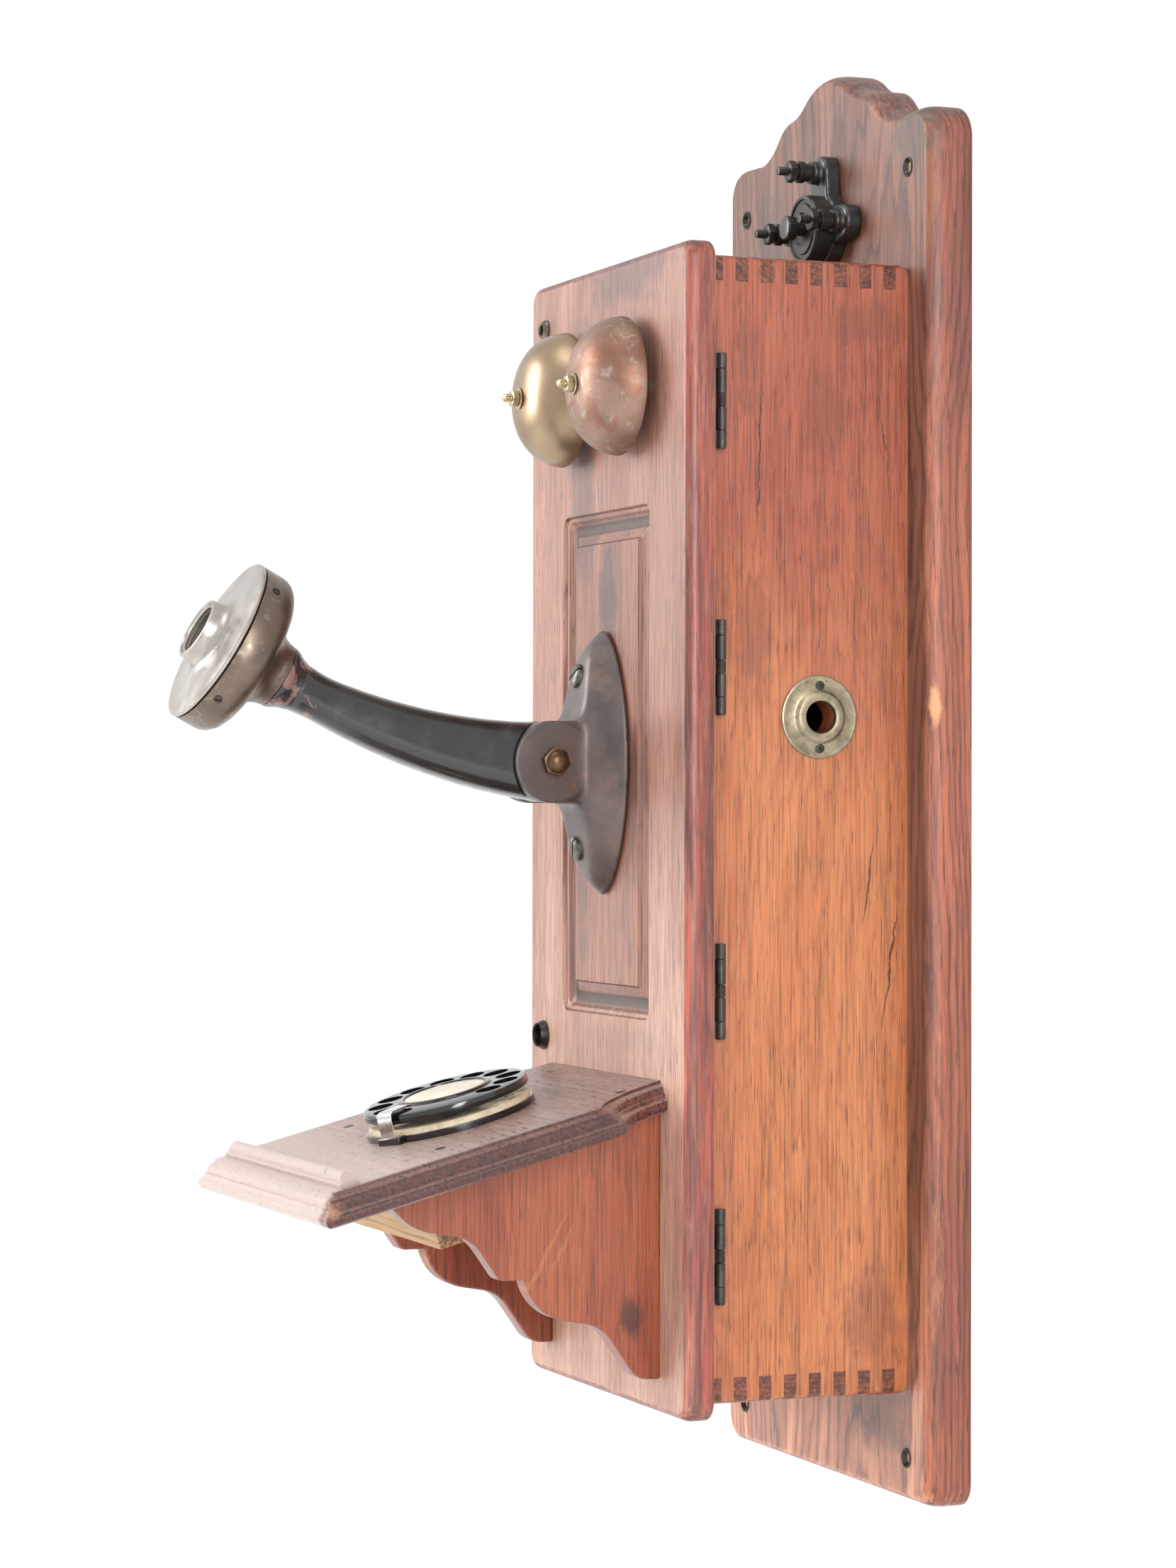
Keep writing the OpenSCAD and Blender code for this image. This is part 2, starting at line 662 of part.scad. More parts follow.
module arm_base_screws() color("dimgray") raised()
    for (z = [-1, 1]) on_front(0, door_front, pivot_h + z * arm_screw_out) {
        translate([0, 0, -8]) cylinder(r = arm_screw_r, h = 17 + touch);
        translate([0, 0, 9]) difference() {
            cylinder(r = 5.4, h = 3.6);
            rotate(20 * z) block([-6, -0.6, 2.4], [6, 0.6, 4]);
        }
    }

bolt_head_r = 7;
bolt_head_t = 5;
nut_t = 5.5;

module pivot_bolt() color("saddlebrown") raised() {
    on_pivot(-cheek_out - 1) cylinder(r = pivot_r, h = 2 * cheek_out + 1 + nut_t + 0.5);
    on_pivot(-cheek_out - bolt_head_t) cylinder(r = bolt_head_r, h = bolt_head_t);
}

module pivot_nut() color("saddlebrown") raised() on_pivot(cheek_out) difference() {
    union() {
        cylinder(r = 6.9, h = nut_t, $fn = 6);
        translate([0, 0, nut_t]) cylinder(r1 = 6, r2 = 3.4, h = 2.2);
    }
    translate([0, 0, -1]) cylinder(r = pivot_r + seat, h = nut_t + 2);
}

// The arm follows an arc from the pivot to the transmitter's neck.
face_middle = [0, -329, 399.8];
neck_back = 32.5;
face_dir = [0, -cos(face_tilt), sin(face_tilt)];
neck = face_middle - neck_back * face_dir;
arm_stations = 6;
arm_start_tilt = 4;
arm_start = [0, -pivot_out, pivot_h];
arm_first = 0.15;
arm_last = 0.905;
collar_l = 11;
collar_bore_r = 9;
collar_bore_l = collar_l - 3.5;

// The place and the tilt of the arm's middle line, from 0 at the pivot to 1 at the neck.
function arm_tilt_at(t) = arm_start_tilt + (face_tilt - arm_start_tilt) * t;
function arm_at(t) =
    let (chord = neck - arm_start,
         bend = sin((face_tilt - arm_start_tilt) / 4) / cos((face_tilt - arm_start_tilt) / 4),
         sag = norm(chord) / 2 * bend * 4 * t * (1 - t),
         across = [0, -chord.z, chord.y] / norm(chord))
    arm_start + chord * t + sag * across;
function arm_half_h(t) = 19.2 - 11.6 * t + 1.2 * t * t;
function arm_half_w(t) = 16.5 - 6.5 * t;

// A thin oval-cornered section of the arm at t.
module arm_section(t) translate(arm_at(t)) rotate([90 - arm_tilt_at(t), 0, 0])
    for (x = [-1, 1], y = [-1, 1])
        translate([x * arm_half_w(t) * 0.42, y * arm_half_h(t) * 0.42, 0])
            cylinder(r = arm_half_w(t) * 0.58, h = 0.5, center = true, $fn = 24);

module transmitter_arm() color("black") raised() difference() {
    union() {
        on_pivot(-tongue_half) cylinder(r = lug_r, h = 2 * tongue_half);
        block([-tongue_half, -pivot_out - 28, pivot_h - 11], [tongue_half, -pivot_out, pivot_h + lug_r - 2]);
        for (i = [0:arm_stations - 1]) let (step = (arm_last - arm_first) / arm_stations)
            hull() {
                arm_section(arm_first + step * i);
                arm_section(arm_first + step * (i + 1));
            }
        facing_mouth(neck_back + collar_l + 3) cylinder(r = collar_bore_r - fit, h = collar_bore_l + 2.9);
    }
    on_pivot(-40) cylinder(r = pivot_r + fit, h = 80);
    for (side = [-1, 1]) on_pivot(side > 0 ? tongue_half : -40)
        cylinder(r = lug_r + 0.8, h = 40 - tongue_half);
}

module facing_mouth(back) {
    translate(face_middle - back * face_dir) rotate([90 - face_tilt, 0, 0]) children();
}

module transmitter_collar() color("black") raised() facing_mouth(neck_back + collar_l) difference() {
    union() {
        cylinder(r1 = 11, r2 = 14.2, h = 7);
        translate([0, 0, 7]) cylinder(r = 15, h = collar_l - 7);
    }
    translate([0, 0, -1]) cylinder(r = collar_bore_r, h = collar_bore_l + 1);
}

cup_wall = 1.5;
// Half section of the cup, from its rim back to its neck.
cup_line = concat([[cup_r, 0], [cup_r, -13]],
                  [for (a = [15:15:75]) [cup_r - 6 + 6 * cos(a), -13 - 6 * sin(a)]],
                  [for (a = [90:-15:0]) [27 - 11 * cos(a) , -31 + 10 * sin(a)]], [[15.9, -neck_back]]);
module transmitter_cup() color("darkkhaki") raised() facing_mouth(0) rotate_extrude() difference() {
    polygon(concat([[0, 0]], cup_line, [[0, -neck_back]]));
    polygon([[0, 1], [cup_r - cup_wall, 1], [cup_r - cup_wall, -13], [cup_r - 8, -17.2], [0, -17.2]]);
    square([8, 80], center = true);
}

socket_l = 9;
module transmitter_face() color("darkkhaki") raised() facing_mouth(0) difference() {
    rotate_extrude() polygon(concat(
        [[0, 0.1], [cup_r, 0.1], [cup_r, 1.4], [22, 3]],
        [for (a = [90:-15:0]) [21.5 - 6 * cos(a), 9 - 6 * sin(a)]],
        [[14.5, 3 + socket_l - 1.5], [14.5, 3 + socket_l], [0, 3 + socket_l]]));
    translate([0, 0, -1]) cylinder(r = socket_r, h = socket_l + 6);
}

// Diaphragm, bridge and carbon button, closed in between the cup and the face.
module transmitter_button() color("silver") raised() facing_mouth(0) {
    translate([0, 0, -1]) cylinder(r = cup_r - cup_wall - 1, h = 0.9);
    translate([0, 0, -11]) cylinder(r = 13, h = 10 + touch);
    translate([0, 0, -16.9]) cylinder(r = 5, h = 6);
}

module rim_screws() color("dimgray") raised() facing_mouth(6)
    for (i = [0:3]) rotate([0, 0, 45 + 90 * i]) translate([cup_r + 0.1, 0, 0]) rotate([0, 90, 0])
        cylinder(r = 2, h = 0.8);

// ---------- writing shelf ----------

// The shelf's own frame: X across, -Y down the slope, Z out of its top.
module on_shelf() {
    raised() translate([0, -door_front, shelf_h]) rotate([shelf_slope, 0, 0]) children();
}

neck_half = 77.5;
shoulder_l = 33;

// Outline of the shelf, d inside its edge: straight front and sides and a hollow shoulder.
function half_shelf(d) =
    let (rx = shelf_w / 2 - neck_half + d, ry = shoulder_l + d, last = acos(d / rx))
    concat([for (i = [0:8]) let (a = last * i / 8) [shelf_w / 2 - rx * cos(a), -ry * sin(a)]],
           [[shelf_w / 2 - d, -shelf_l + d]]);
module shelf_outline(d) {
    right = half_shelf(d);
    polygon(concat([[right[0].x, 8]], right, mirrored(right), [[-right[0].x, 8]]));
}

module shelf_layer(from, to, d) { translate([0, 0, from]) linear_extrude(to - from) shelf_outline(d); }

// The edge moulding from the top down: [depth where a step starts, how far it stands in].
moulding = [[0, 8.5], [1.5, 6], [5, 3], [7, 0], [12, 1.8]];
dial_hole_r = 31;
module writing_shelf() color("tan") difference() {
    on_shelf() difference() {
        union() {
            for (i = [0:len(moulding) - 1]) let (low = i + 1 < len(moulding) ? moulding[i + 1][0] : shelf_t)
                shelf_layer(-low, -moulding[i][0], moulding[i][1]);
        }
        translate([0, -dial_down, -shelf_t - 1]) cylinder(r = dial_hole_r, h = shelf_t + 2);
    }
    raised() block([-150, -door_front, 0], [150, 0, 400]);
}

stop_h = 6.5;
stop_d = 8;
stop_in = 14;
module pencil_stop() color("tan") on_shelf() intersection() {
    translate([-120, -shelf_l + stop_in, 0]) rotate([90, 0, 90]) linear_extrude(240) union() {
        square([stop_d, stop_h - stop_d / 2 + 1]);
        translate([stop_d / 2, stop_h - stop_d / 2]) circle(stop_d / 2);
    }
    linear_extrude(stop_h + 3) square([shelf_w - 22, 3 * shelf_l], center = true);
}

// ---------- shelf brackets ----------

bracket_t = 12.5;
bracket_low = 60.7;
bracket_right_x = 56.8;
bracket_left_x = -66.6;
// One scallop: a small hollow, a straight, a round shoulder, a flat and a big hollow.
scallop = [[10, 55], [18, 0], [19, -45], [10.5, 0], [24, 70]];
scallop_end = [[4, 55], [14, 0], [19, -45], [12, 0], [26, 35]];
bracket_line = walk([6, bracket_low], 0, concat(scallop, [[0, -80], [10, 0]], scallop_end));
under_shelf = shelf_h - shelf_t / cos(shelf_slope);
bracket_tip = bracket_line[len(bracket_line) - 1];
// The last straight runs up at 45 degrees until it meets the underside of the shelf.
tip_run = (under_shelf - tan(shelf_slope) * bracket_tip.x - bracket_tip.y) / (1 + tan(shelf_slope));

module bracket(x) raised() translate([x, -door_front, 0]) rotate([90, 0, -90]) mirror([0, 0, 1])
    linear_extrude(bracket_t) polygon(concat([[0, bracket_low], [6, bracket_low]], bracket_line,
        [bracket_tip + [tip_run, tip_run], [0, under_shelf]]));
module bracket_left() color("orangered") bracket(bracket_left_x - bracket_t);
module bracket_right() color("orangered") bracket(bracket_right_x);

// ---------- well under the dial ----------

well_front = dial_down + 39;
well_back = 42;
well_deep = 46;
board_thin = 9;
module dial_well_front() color("burlywood") on_shelf()
    block([bracket_left_x, -well_front, -well_deep], [bracket_right_x, -well_front + board_thin, -shelf_t]);
module dial_well_floor() color("burlywood") on_shelf()
    block([bracket_left_x, -well_front + board_thin, -well_deep],
          [bracket_right_x, -well_back, -well_deep + board_thin]);

// ---------- dial ----------

module on_dial() { on_shelf() translate([0, -dial_down, 0]) children(); }

hole_ring = 31;
first_hole = 22;
hole_step = 28;
stop_angle = 297;
cup_h = 5;
wheel_low = 8.6;
wheel_t = 4.6;
wheel_top = wheel_low + wheel_t;
shaft_r = 3;

module dial_cup() color("black") on_dial() difference() {
    union() {
        cylinder(r1 = 40.5, r2 = 39.6, h = cup_h);
        translate([0, 0, -6]) cylinder(r = dial_hole_r - 0.5, h = 6 + touch);
        rotate(stop_angle) block([38, -5, 0], [43, 5, cup_h - 1]);
    }
    translate([0, 0, cup_h - 1]) cylinder(r = 37.8, h = 2);
    translate([0, 0, -7]) cylinder(r = shaft_r + fit, h = 20);
}

module dial_number_plate() color("ivory") on_dial() translate([0, 0, cup_h - 1]) difference() {
    cylinder(r = 37.6, h = 1);
    translate([0, 0, -1]) cylinder(r = shaft_r + 1, h = 3);
}

// A bent strap, from the cup's lug over the rim of the wheel.
module finger_stop() color("silver") on_dial() rotate(stop_angle) {
    block([41, -3.5, cup_h - 1], [42, 3.5, wheel_top + 2.2]);
    block([25, -3.5, wheel_top + 1.2], [41 + touch, 3.5, wheel_top + 2.2]);
}

module finger_wheel() color("black") on_dial() difference() {
    union() {
        translate([0, 0, wheel_low]) cylinder(r = wheel_r, h = wheel_t);
        translate([0, 0, wheel_top - touch]) cylinder(r1 = 23, r2 = 22, h = 1);
    }
    for (i = [0:9]) rotate(first_hole + hole_step * i) translate([hole_ring, 0, 0])
        cylinder(r = finger_r, h = 30);
    translate([0, 0, wheel_top - 0.5]) cylinder(r = 20, h = 3);
    cylinder(r = shaft_r + seat, h = 30);
}

module dial_card() color("ivory") on_dial() translate([0, 0, wheel_top - 0.5]) cylinder(r = 19.9, h = 0.7);

gear_teeth = 60;
pinion_teeth = 12;
gear_module = 0.7;
gear_low = -22;
gear_t = 2;
gear_pitch_r = gear_teeth * gear_module / 2;
pinion_pitch_r = pinion_teeth * gear_module / 2;
gear_centres = gear_pitch_r + pinion_pitch_r + 0.1;

// A spur gear's outline: slim straight-sided teeth, the first one at angle 0.
module gear_outline(teeth) {
    pr = teeth * gear_module / 2;
    root = pr - 1.15 * gear_module;
    tip = pr + 0.8 * gear_module;
    polygon([for (i = [0:teeth - 1], c = [[root, -0.27], [tip, -0.11], [tip, 0.11], [root, 0.27]])
        let (a = (i + c[1]) * 360 / teeth) c[0] * [cos(a), sin(a)]]);
}

// The wheel's shaft with its main gear below the shelf.
module dial_shaft() color("silver") on_dial() {
    translate([0, 0, gear_low - 5]) cylinder(r = shaft_r, h = wheel_top - 0.6 - gear_low + 5);
    translate([0, 0, gear_low]) linear_extrude(gear_t) gear_outline(gear_teeth);
}

// The plate that carries the shaft's foot and the governor, hung below the cup on three pillars.
module dial_plate() color("goldenrod") on_dial() difference() {
    union() {
        translate([0, 0, gear_low - 4]) cylinder(r = 28.5, h = 2);
        for (a = [60, 180, 300]) rotate(a) translate([25.6, 0, gear_low - 2 - touch])
            cylinder(r = 2, h = -6 - gear_low + 2);
    }
    translate([0, 0, gear_low - 10]) cylinder(r = shaft_r + fit, h = 20);
    rotate(90) translate([gear_centres, 0, gear_low - 10]) cylinder(r = 1 + fit, h = 20);
}

// The governor: a pinion and a fly weight on a spindle that stands on the plate.
module governor() color("darkgoldenrod") on_dial() rotate(90) translate([gear_centres, 0, 0]) {
    translate([0, 0, gear_low - 4]) cylinder(r = 1, h = 14);
    translate([0, 0, gear_low - 0.5]) rotate(180 + 180 / pinion_teeth)
        linear_extrude(gear_t + 1) gear_outline(pinion_teeth);
    translate([0, 0, gear_low + 5]) block([-3.5, -1, 0], [3.5, 1, 3]);
}

backboard();
wall_screw_cups();
box_left_side();
box_right_side();
box_top();
box_bottom();
hinge_box_leaves();
crank_escutcheon();
escutcheon_screws();
arrester_base();
arrester_disc();
arrester_knob();
binding_posts();
binding_nuts();
hook_plate();
hook_frame();
hook_pin();
hook_contacts();
hook_lever();
induction_coil();
condenser();
terminal_strip();
door();
hinge_door_leaves();
hinge_pins();
bell_left();
bell_right();
bell_posts();
bell_nuts();
ringer_frame();
ringer_coils();
ringer_pin();
clapper();
cord_grommet();
upper_grommet();
arm_base();
arm_base_screws();
pivot_bolt();
pivot_nut();
transmitter_arm();
transmitter_collar();
transmitter_cup();
transmitter_face();
transmitter_button();
rim_screws();
writing_shelf();
pencil_stop();
bracket_left();
bracket_right();
dial_well_front();
dial_well_floor();
dial_cup();
dial_number_plate();
finger_stop();
dial_plate();
finger_wheel();
dial_card();
dial_shaft();
governor();
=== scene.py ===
import json
from math import acos, asin, atan2, ceil, copysign, cos, degrees, hypot, pi, radians, sin, tan

import bmesh
import bpy
from mathutils import Matrix, Vector

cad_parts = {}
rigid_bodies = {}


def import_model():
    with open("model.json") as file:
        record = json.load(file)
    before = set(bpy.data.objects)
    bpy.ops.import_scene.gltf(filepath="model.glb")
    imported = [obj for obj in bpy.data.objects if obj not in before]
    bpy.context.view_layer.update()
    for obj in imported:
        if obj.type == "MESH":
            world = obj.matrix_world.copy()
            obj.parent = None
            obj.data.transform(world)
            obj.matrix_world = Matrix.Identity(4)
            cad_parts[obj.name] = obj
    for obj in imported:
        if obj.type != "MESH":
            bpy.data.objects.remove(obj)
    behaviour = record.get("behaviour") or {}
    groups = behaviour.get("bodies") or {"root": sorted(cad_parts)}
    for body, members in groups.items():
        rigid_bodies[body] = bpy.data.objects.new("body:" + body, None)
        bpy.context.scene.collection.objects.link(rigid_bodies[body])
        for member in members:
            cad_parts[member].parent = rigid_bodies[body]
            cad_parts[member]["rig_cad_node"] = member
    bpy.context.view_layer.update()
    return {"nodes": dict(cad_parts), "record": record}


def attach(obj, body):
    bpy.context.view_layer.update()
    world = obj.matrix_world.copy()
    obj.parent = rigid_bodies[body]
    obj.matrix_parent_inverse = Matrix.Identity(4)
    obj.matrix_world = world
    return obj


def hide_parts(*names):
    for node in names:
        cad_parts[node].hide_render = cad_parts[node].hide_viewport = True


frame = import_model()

NODES = frame["nodes"]
BODY_OF = {n: b for b, ns in frame["record"]["behaviour"]["bodies"].items() for n in ns}
SLOT_OF = {s["node"]: s["material_slot"] for s in frame["record"]["subparts"]}
FOOT = 0.322            # height of the wall screws' middle above the backboard's foot
scene = bpy.context.scene
TAU = 2 * pi
SMOOTH = 32             # degrees between two faces that still shade as one
MATS = {}               # every finish by its name


def mm(*v):
    """A point given in millimetres, with its height above the foot, in the frame's metres."""
    return Vector((v[0] / 1000, v[1] / 1000, v[2] / 1000 - FOOT))


def linked(name, data):
    """A new object in the scene."""
    o = bpy.data.objects.new(name, data)
    scene.collection.objects.link(o)
    return o


def turn_by(angle, axis):
    """A rotation in degrees about an axis."""
    return Matrix.Rotation(radians(angle), 4, axis)


def local(place, x, y, z):
    """A point in millimetres along a matrix's own axes."""
    return place @ Vector((x / 1000, y / 1000, z / 1000))


# ---------------------------------------------------------------- materials
class Graph:
    """A small helper round one material's node tree."""

    def __init__(self, name):
        self.mat = bpy.data.materials.new(name)
        self.mat.use_nodes = True
        self.t = self.mat.node_tree
        self.t.nodes.clear()
        self.out = self.t.nodes.new("ShaderNodeOutputMaterial")
        self.bsdf = self.t.nodes.new("ShaderNodeBsdfPrincipled")
        self.t.links.new(self.bsdf.outputs[0], self.out.inputs[0])
        tex = self.t.nodes.new("ShaderNodeTexCoord")
        self.co, self.normal = tex.outputs["Object"], tex.outputs["Normal"]
        self.xyz = None

    def node(self, kind, **props):
        n = self.t.nodes.new(kind)
        for k, v in props.items():
            setattr(n, k, v)
        return n

    def put(self, socket, value):
        if hasattr(value, "links"):
            self.t.links.new(value, socket)
        elif value is not None:
            if isinstance(value, (tuple, list)) and len(value) == 3 and len(socket.default_value) == 4:
                value = (*value, 1)
            socket.default_value = value

    def math(self, op, a, b=None):
        n = self.node("ShaderNodeMath", operation=op)
        for socket, value in zip(n.inputs, (a, b)):
            self.put(socket, value)
        return n.outputs[0]

    def mul(self, a, b):
        return self.math("MULTIPLY", a, b)

    def add(self, a, b):
        return self.math("ADD", a, b)

    def sub(self, a, b):
        return self.math("SUBTRACT", a, b)

    def abs(self, a):
        return self.math("ABSOLUTE", a)

    def axis(self, i):
        if self.xyz is None:
            n = self.node("ShaderNodeSeparateXYZ")
            self.put(n.inputs[0], self.co)
            self.xyz = n.outputs
        return self.xyz[i]

    def scaled(self, scale, offset=(0, 0, 0)):
        n = self.node("ShaderNodeMapping")
        self.put(n.inputs[0], self.co)
        n.inputs["Location"].default_value = offset
        n.inputs["Scale"].default_value = scale
        return n.outputs[0]

    def noise(self, scale, vec=None, detail=4.0, rough=0.55, distort=0.0):
        n = self.node("ShaderNodeTexNoise")
        self.put(n.inputs["Vector"], vec or self.co)
        n.inputs["Scale"].default_value = scale
        n.inputs["Detail"].default_value = detail
        n.inputs["Roughness"].default_value = rough
        n.inputs["Distortion"].default_value = distort
        return n.outputs[0]

    def ramp(self, fac, stops):
        n = self.node("ShaderNodeValToRGB")
        e = n.color_ramp.elements
        while len(e) < len(stops):
            e.new(0.5)
        for el, (p, c) in zip(e, stops):
            el.position = p
            el.color = (c, c, c, 1) if isinstance(c, (int, float)) else (*c, 1)
        self.put(n.inputs[0], fac)
        return n.outputs[0]

    def mix(self, fac, a, b, blend="MIX"):
        n = self.node("ShaderNodeMix", data_type="RGBA", blend_type=blend)
        self.put(n.inputs[0], fac)
        self.put(n.inputs[6], a)
        self.put(n.inputs[7], b)
        return n.outputs[2]

    def tint(self, fac, col, by):
        """Darkens or warms a colour by multiplying it."""
        return self.mix(fac, col, by, "MULTIPLY")

    def step(self, v, lo, hi, to_lo=0.0, to_hi=1.0):
        n = self.node("ShaderNodeMapRange", interpolation_type="SMOOTHSTEP")
        for s, x in zip(n.inputs, (v, lo, hi, to_lo, to_hi)):
            self.put(s, x)
        return n.outputs[0]

    def bump(self, height, strength, distance):
        n = self.node("ShaderNodeBump")
        n.inputs["Strength"].default_value = strength
        n.inputs["Distance"].default_value = distance
        self.put(n.inputs["Height"], height)
        return n.outputs[0]

    def attr(self, name):
        return self.node("ShaderNodeAttribute", attribute_name=name).outputs["Fac"]

    def blob(self, centre, radii, ragged=0.5, grit=90, lo=1.0, hi=0.4):
        """A soft ragged patch round a place in the frame's metres."""
        v = self.co
        for op, by in (("SUBTRACT", centre), ("DIVIDE", radii), ("LENGTH", None)):
            n = self.node("ShaderNodeVectorMath", operation=op)
            self.put(n.inputs[0], v)
            if by:
                n.inputs[1].default_value = by
            v = n.outputs["Value" if op == "LENGTH" else "Vector"]
        rag = self.mul(self.sub(self.noise(grit, None, 5, 0.65), 0.5), ragged * 2)
        return self.step(self.add(v, rag), lo, hi)

    def crack(self, a, at, slope, z0, z1, width):
        """A thin upright crack near a place on axis a, tapering to nothing at both its ends."""
        z = self.sub(self.axis(2), (z0 + z1) / 2)
        wig = self.mul(self.noise(1.0, self.scaled((70, 70, 70)), 4, 0.7), 0.006)
        off = self.sub(self.sub(self.axis(a), self.mul(z, slope)), at + 0.003)
        off = self.abs(self.add(off, wig))
        t = self.mul(z, 2 / (z1 - z0))
        thin = self.mul(self.sub(1.0, self.mul(t, t)), width)
        return self.step(off, self.math("MAXIMUM", thin, 1e-6), 0.0)

    def done(self, color, rough, metallic=0.0, normal=None, coat=0.0, coat_rough=0.2):
        b = self.bsdf.inputs
        self.put(b["Base Color"], color)
        self.put(b["Roughness"], rough)
        self.put(b["Metallic"], metallic)
        if normal is not None:
            self.put(b["Normal"], normal)
        b["Coat Weight"].default_value = coat
        b["Coat Roughness"].default_value = coat_rough
        return self.mat


def along(grain, across, lengthways):
    """Noise coordinates that are fine across the grain and long along it."""
    return tuple(lengthways if a == grain else across for a in range(3))


def wood(name, light, mid, dark, grain=2, seed=0.0, heart=(0.0, 0.0), ring=0.0028, swirl=0.03, lines=0.5,
         pores=0.5, gloss=0.38, wear=None, fleck=0.0, extra=None, fibre=0.8, blotch=0.55, coat=0.12,
         dash=(1500, 70), end=(0.62, 0.5, 0.5)):
    """Sawn wood: growth rings round a heart, long fibres, pores, rays and slow changes of colour."""
    g = Graph(name)
    off = (seed, seed * 0.37, seed * 0.71)
    across = [g.sub(g.axis(a), h) for a, h in zip([a for a in range(3) if a != grain], heart)]
    far = g.math("SQRT", g.add(*[g.mul(v, v) for v in across]))
    bend = g.noise(1.0, g.scaled(along(grain, 7, 2.6), off), 2, 0.5)
    wave = g.noise(1.0, g.scaled(along(grain, 60, 12), off), 3, 0.6)
    field = g.add(far, g.mul(g.add(bend, g.mul(wave, 0.16)), swirl))
    count = g.math("DIVIDE", field, ring)
    part = g.math("FRACT", count)
    year = g.node("ShaderNodeTexWhiteNoise", noise_dimensions="1D")
    g.put(year.inputs["W"], g.math("FLOOR", count))
    late = g.ramp(part, [(0.0, 0.2), (0.14, 0.85), (0.55, 1.0), (0.86, 0.5), (1.0, 0.12)])
    slow = g.noise(1.0, g.scaled(along(grain, 24, 5), off), 5, 0.64, 0.5)
    fine = g.noise(1.0, g.scaled(along(grain, 950, 22), off), 4, 0.68)
    tone = g.add(g.mul(slow, blotch), g.mul(late, 0.4 * lines))
    tone = g.add(tone, g.mul(year.outputs["Value"], 0.24 * lines))
    middle = 0.5 * blotch + 0.40 * lines
    col = g.ramp(tone, [(middle - 0.19, dark), (middle, mid), (middle + 0.17, light)])
    if wear:
        rub = g.noise(1.0, g.scaled(along(grain, 170, 26), off), 5, 0.74)
        worn = g.step(g.add(g.attr("wear"), g.mul(rub, 1.1)), 1.10, 1.62)
        streaks = g.noise(1.0, g.scaled(along(grain, 190, 11), off), 4, 0.7)
        shade = g.ramp(streaks, [(0.36, 0.35), (0.5, 0.95), (0.64, 1.6)])
        col = g.mix(g.mul(worn, 0.9), col, g.tint(1.0, wear, shade))
    col = g.tint(fibre, col, g.ramp(fine, [(0.34, 0.52), (0.48, 0.96), (0.62, 1.16)]))
    # open pores: short thin dark dashes, most of them where each year's growth starts
    pore = g.noise(1.0, g.scaled(along(grain, *dash), off), 1, 0.5)
    early = g.step(part, 0.6, 0.1, 0.35, 1.0)
    pore_mask = g.mul(g.mul(g.step(pore, 0.42, 0.33), pores), early)
    col = g.mix(pore_mask, col, tuple(c * 0.4 for c in dark))
    if fleck:
        ray = g.noise(1.0, g.scaled(along(grain, 420, 130), (off[1], off[0], 3.1)), 2, 0.5)
        col = g.mix(g.mul(g.step(ray, 0.58, 0.68), fleck), col, light)
    facing = g.node("ShaderNodeSeparateXYZ")
    g.put(facing.inputs[0], g.normal)
    sawn = g.step(g.abs(facing.outputs[grain]), 0.45, 0.8)
    hatch = g.ramp(g.noise(1.0, g.scaled(along(grain, 520, 60), off), 3, 0.7), [(0.40, 0.45), (0.58, 1.3)])
    col = g.mix(sawn, col, g.tint(1.0, g.tint(1.0, col, end), hatch))
    if extra:
        col = extra(g, col)
    h = g.sub(g.add(g.mul(fine, 0.5), g.mul(late, 0.12)),
               g.mul(pore_mask, 0.9))
    rough = g.ramp(slow, [(0.35, gloss - 0.05), (0.65, gloss + 0.12)])
    MATS[name] = g.done(col, rough, normal=g.bump(h, 0.4, 0.0004), coat=coat, coat_rough=0.3)


def metal(name, color, dark, rough, metallic, scale, bump, spots=None, spot_size=180, spot_amount=0.5,
          brushed=None, coat=0.0, extra=None):
    """A clouded, spotted and finely pitted surface, also used for enamel, paint and card."""
    g = Graph(name)
    cloud = g.noise(scale, None, 5, 0.62, 0.4)
    col = g.ramp(cloud, [(0.30, dark), (0.62, color)])
    if spots:
        sp = g.noise(spot_size, None, 4, 0.7, 0.6)
        col = g.mix(g.mul(g.step(sp, 0.56, 0.66), spot_amount), col, spots)
    if extra:
        col = extra(g, col)
    hgt = g.noise(1.0, g.scaled(brushed), 2, 0.5) if brushed else g.noise(1800, None, 2, 0.5)
    r = g.ramp(g.noise(scale * 2.7, None, 4, 0.6), [(0.3, max(rough - 0.09, 0.03)), (0.7, rough + 0.12)])
    MATS[name] = g.done(col, r, metallic, g.bump(hgt, bump, 0.0002), coat=coat, coat_rough=0.15)


# ---------------------------------------------------------------- mesh helpers
def finish_mesh(me, angle):
    for p in me.polygons:
        p.use_smooth = True
    me.set_sharp_from_angle(angle=radians(angle))


def piece(name, verts, faces, body, slot, mat=None, angle=30, wear=None, stands_for=(), merge=False):
    """A new mesh piece that rides on a body, takes the finish named by mat or else by slot, and may stand for
    CAD nodes, which it hides.
    """
    me = bpy.data.meshes.new(name)
    me.from_pydata([tuple(v) for v in verts], [], faces)
    me.validate()
    bm = bmesh.new()
    bm.from_mesh(me)
    if merge:
        bmesh.ops.remove_doubles(bm, verts=bm.verts, dist=1e-6)
    bmesh.ops.recalc_face_normals(bm, faces=bm.faces)
    bm.to_mesh(me)
    bm.free()
    if wear is not None:
        a = me.attributes.new("wear", "FLOAT", "POINT")
        a.data.foreach_set("value", wear)
    finish_mesh(me, angle)
    o = linked(name, me)
    me.materials.append(MATS[mat or slot])
    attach(o, body)
    if stands_for:
        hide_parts(*stands_for)
    return o


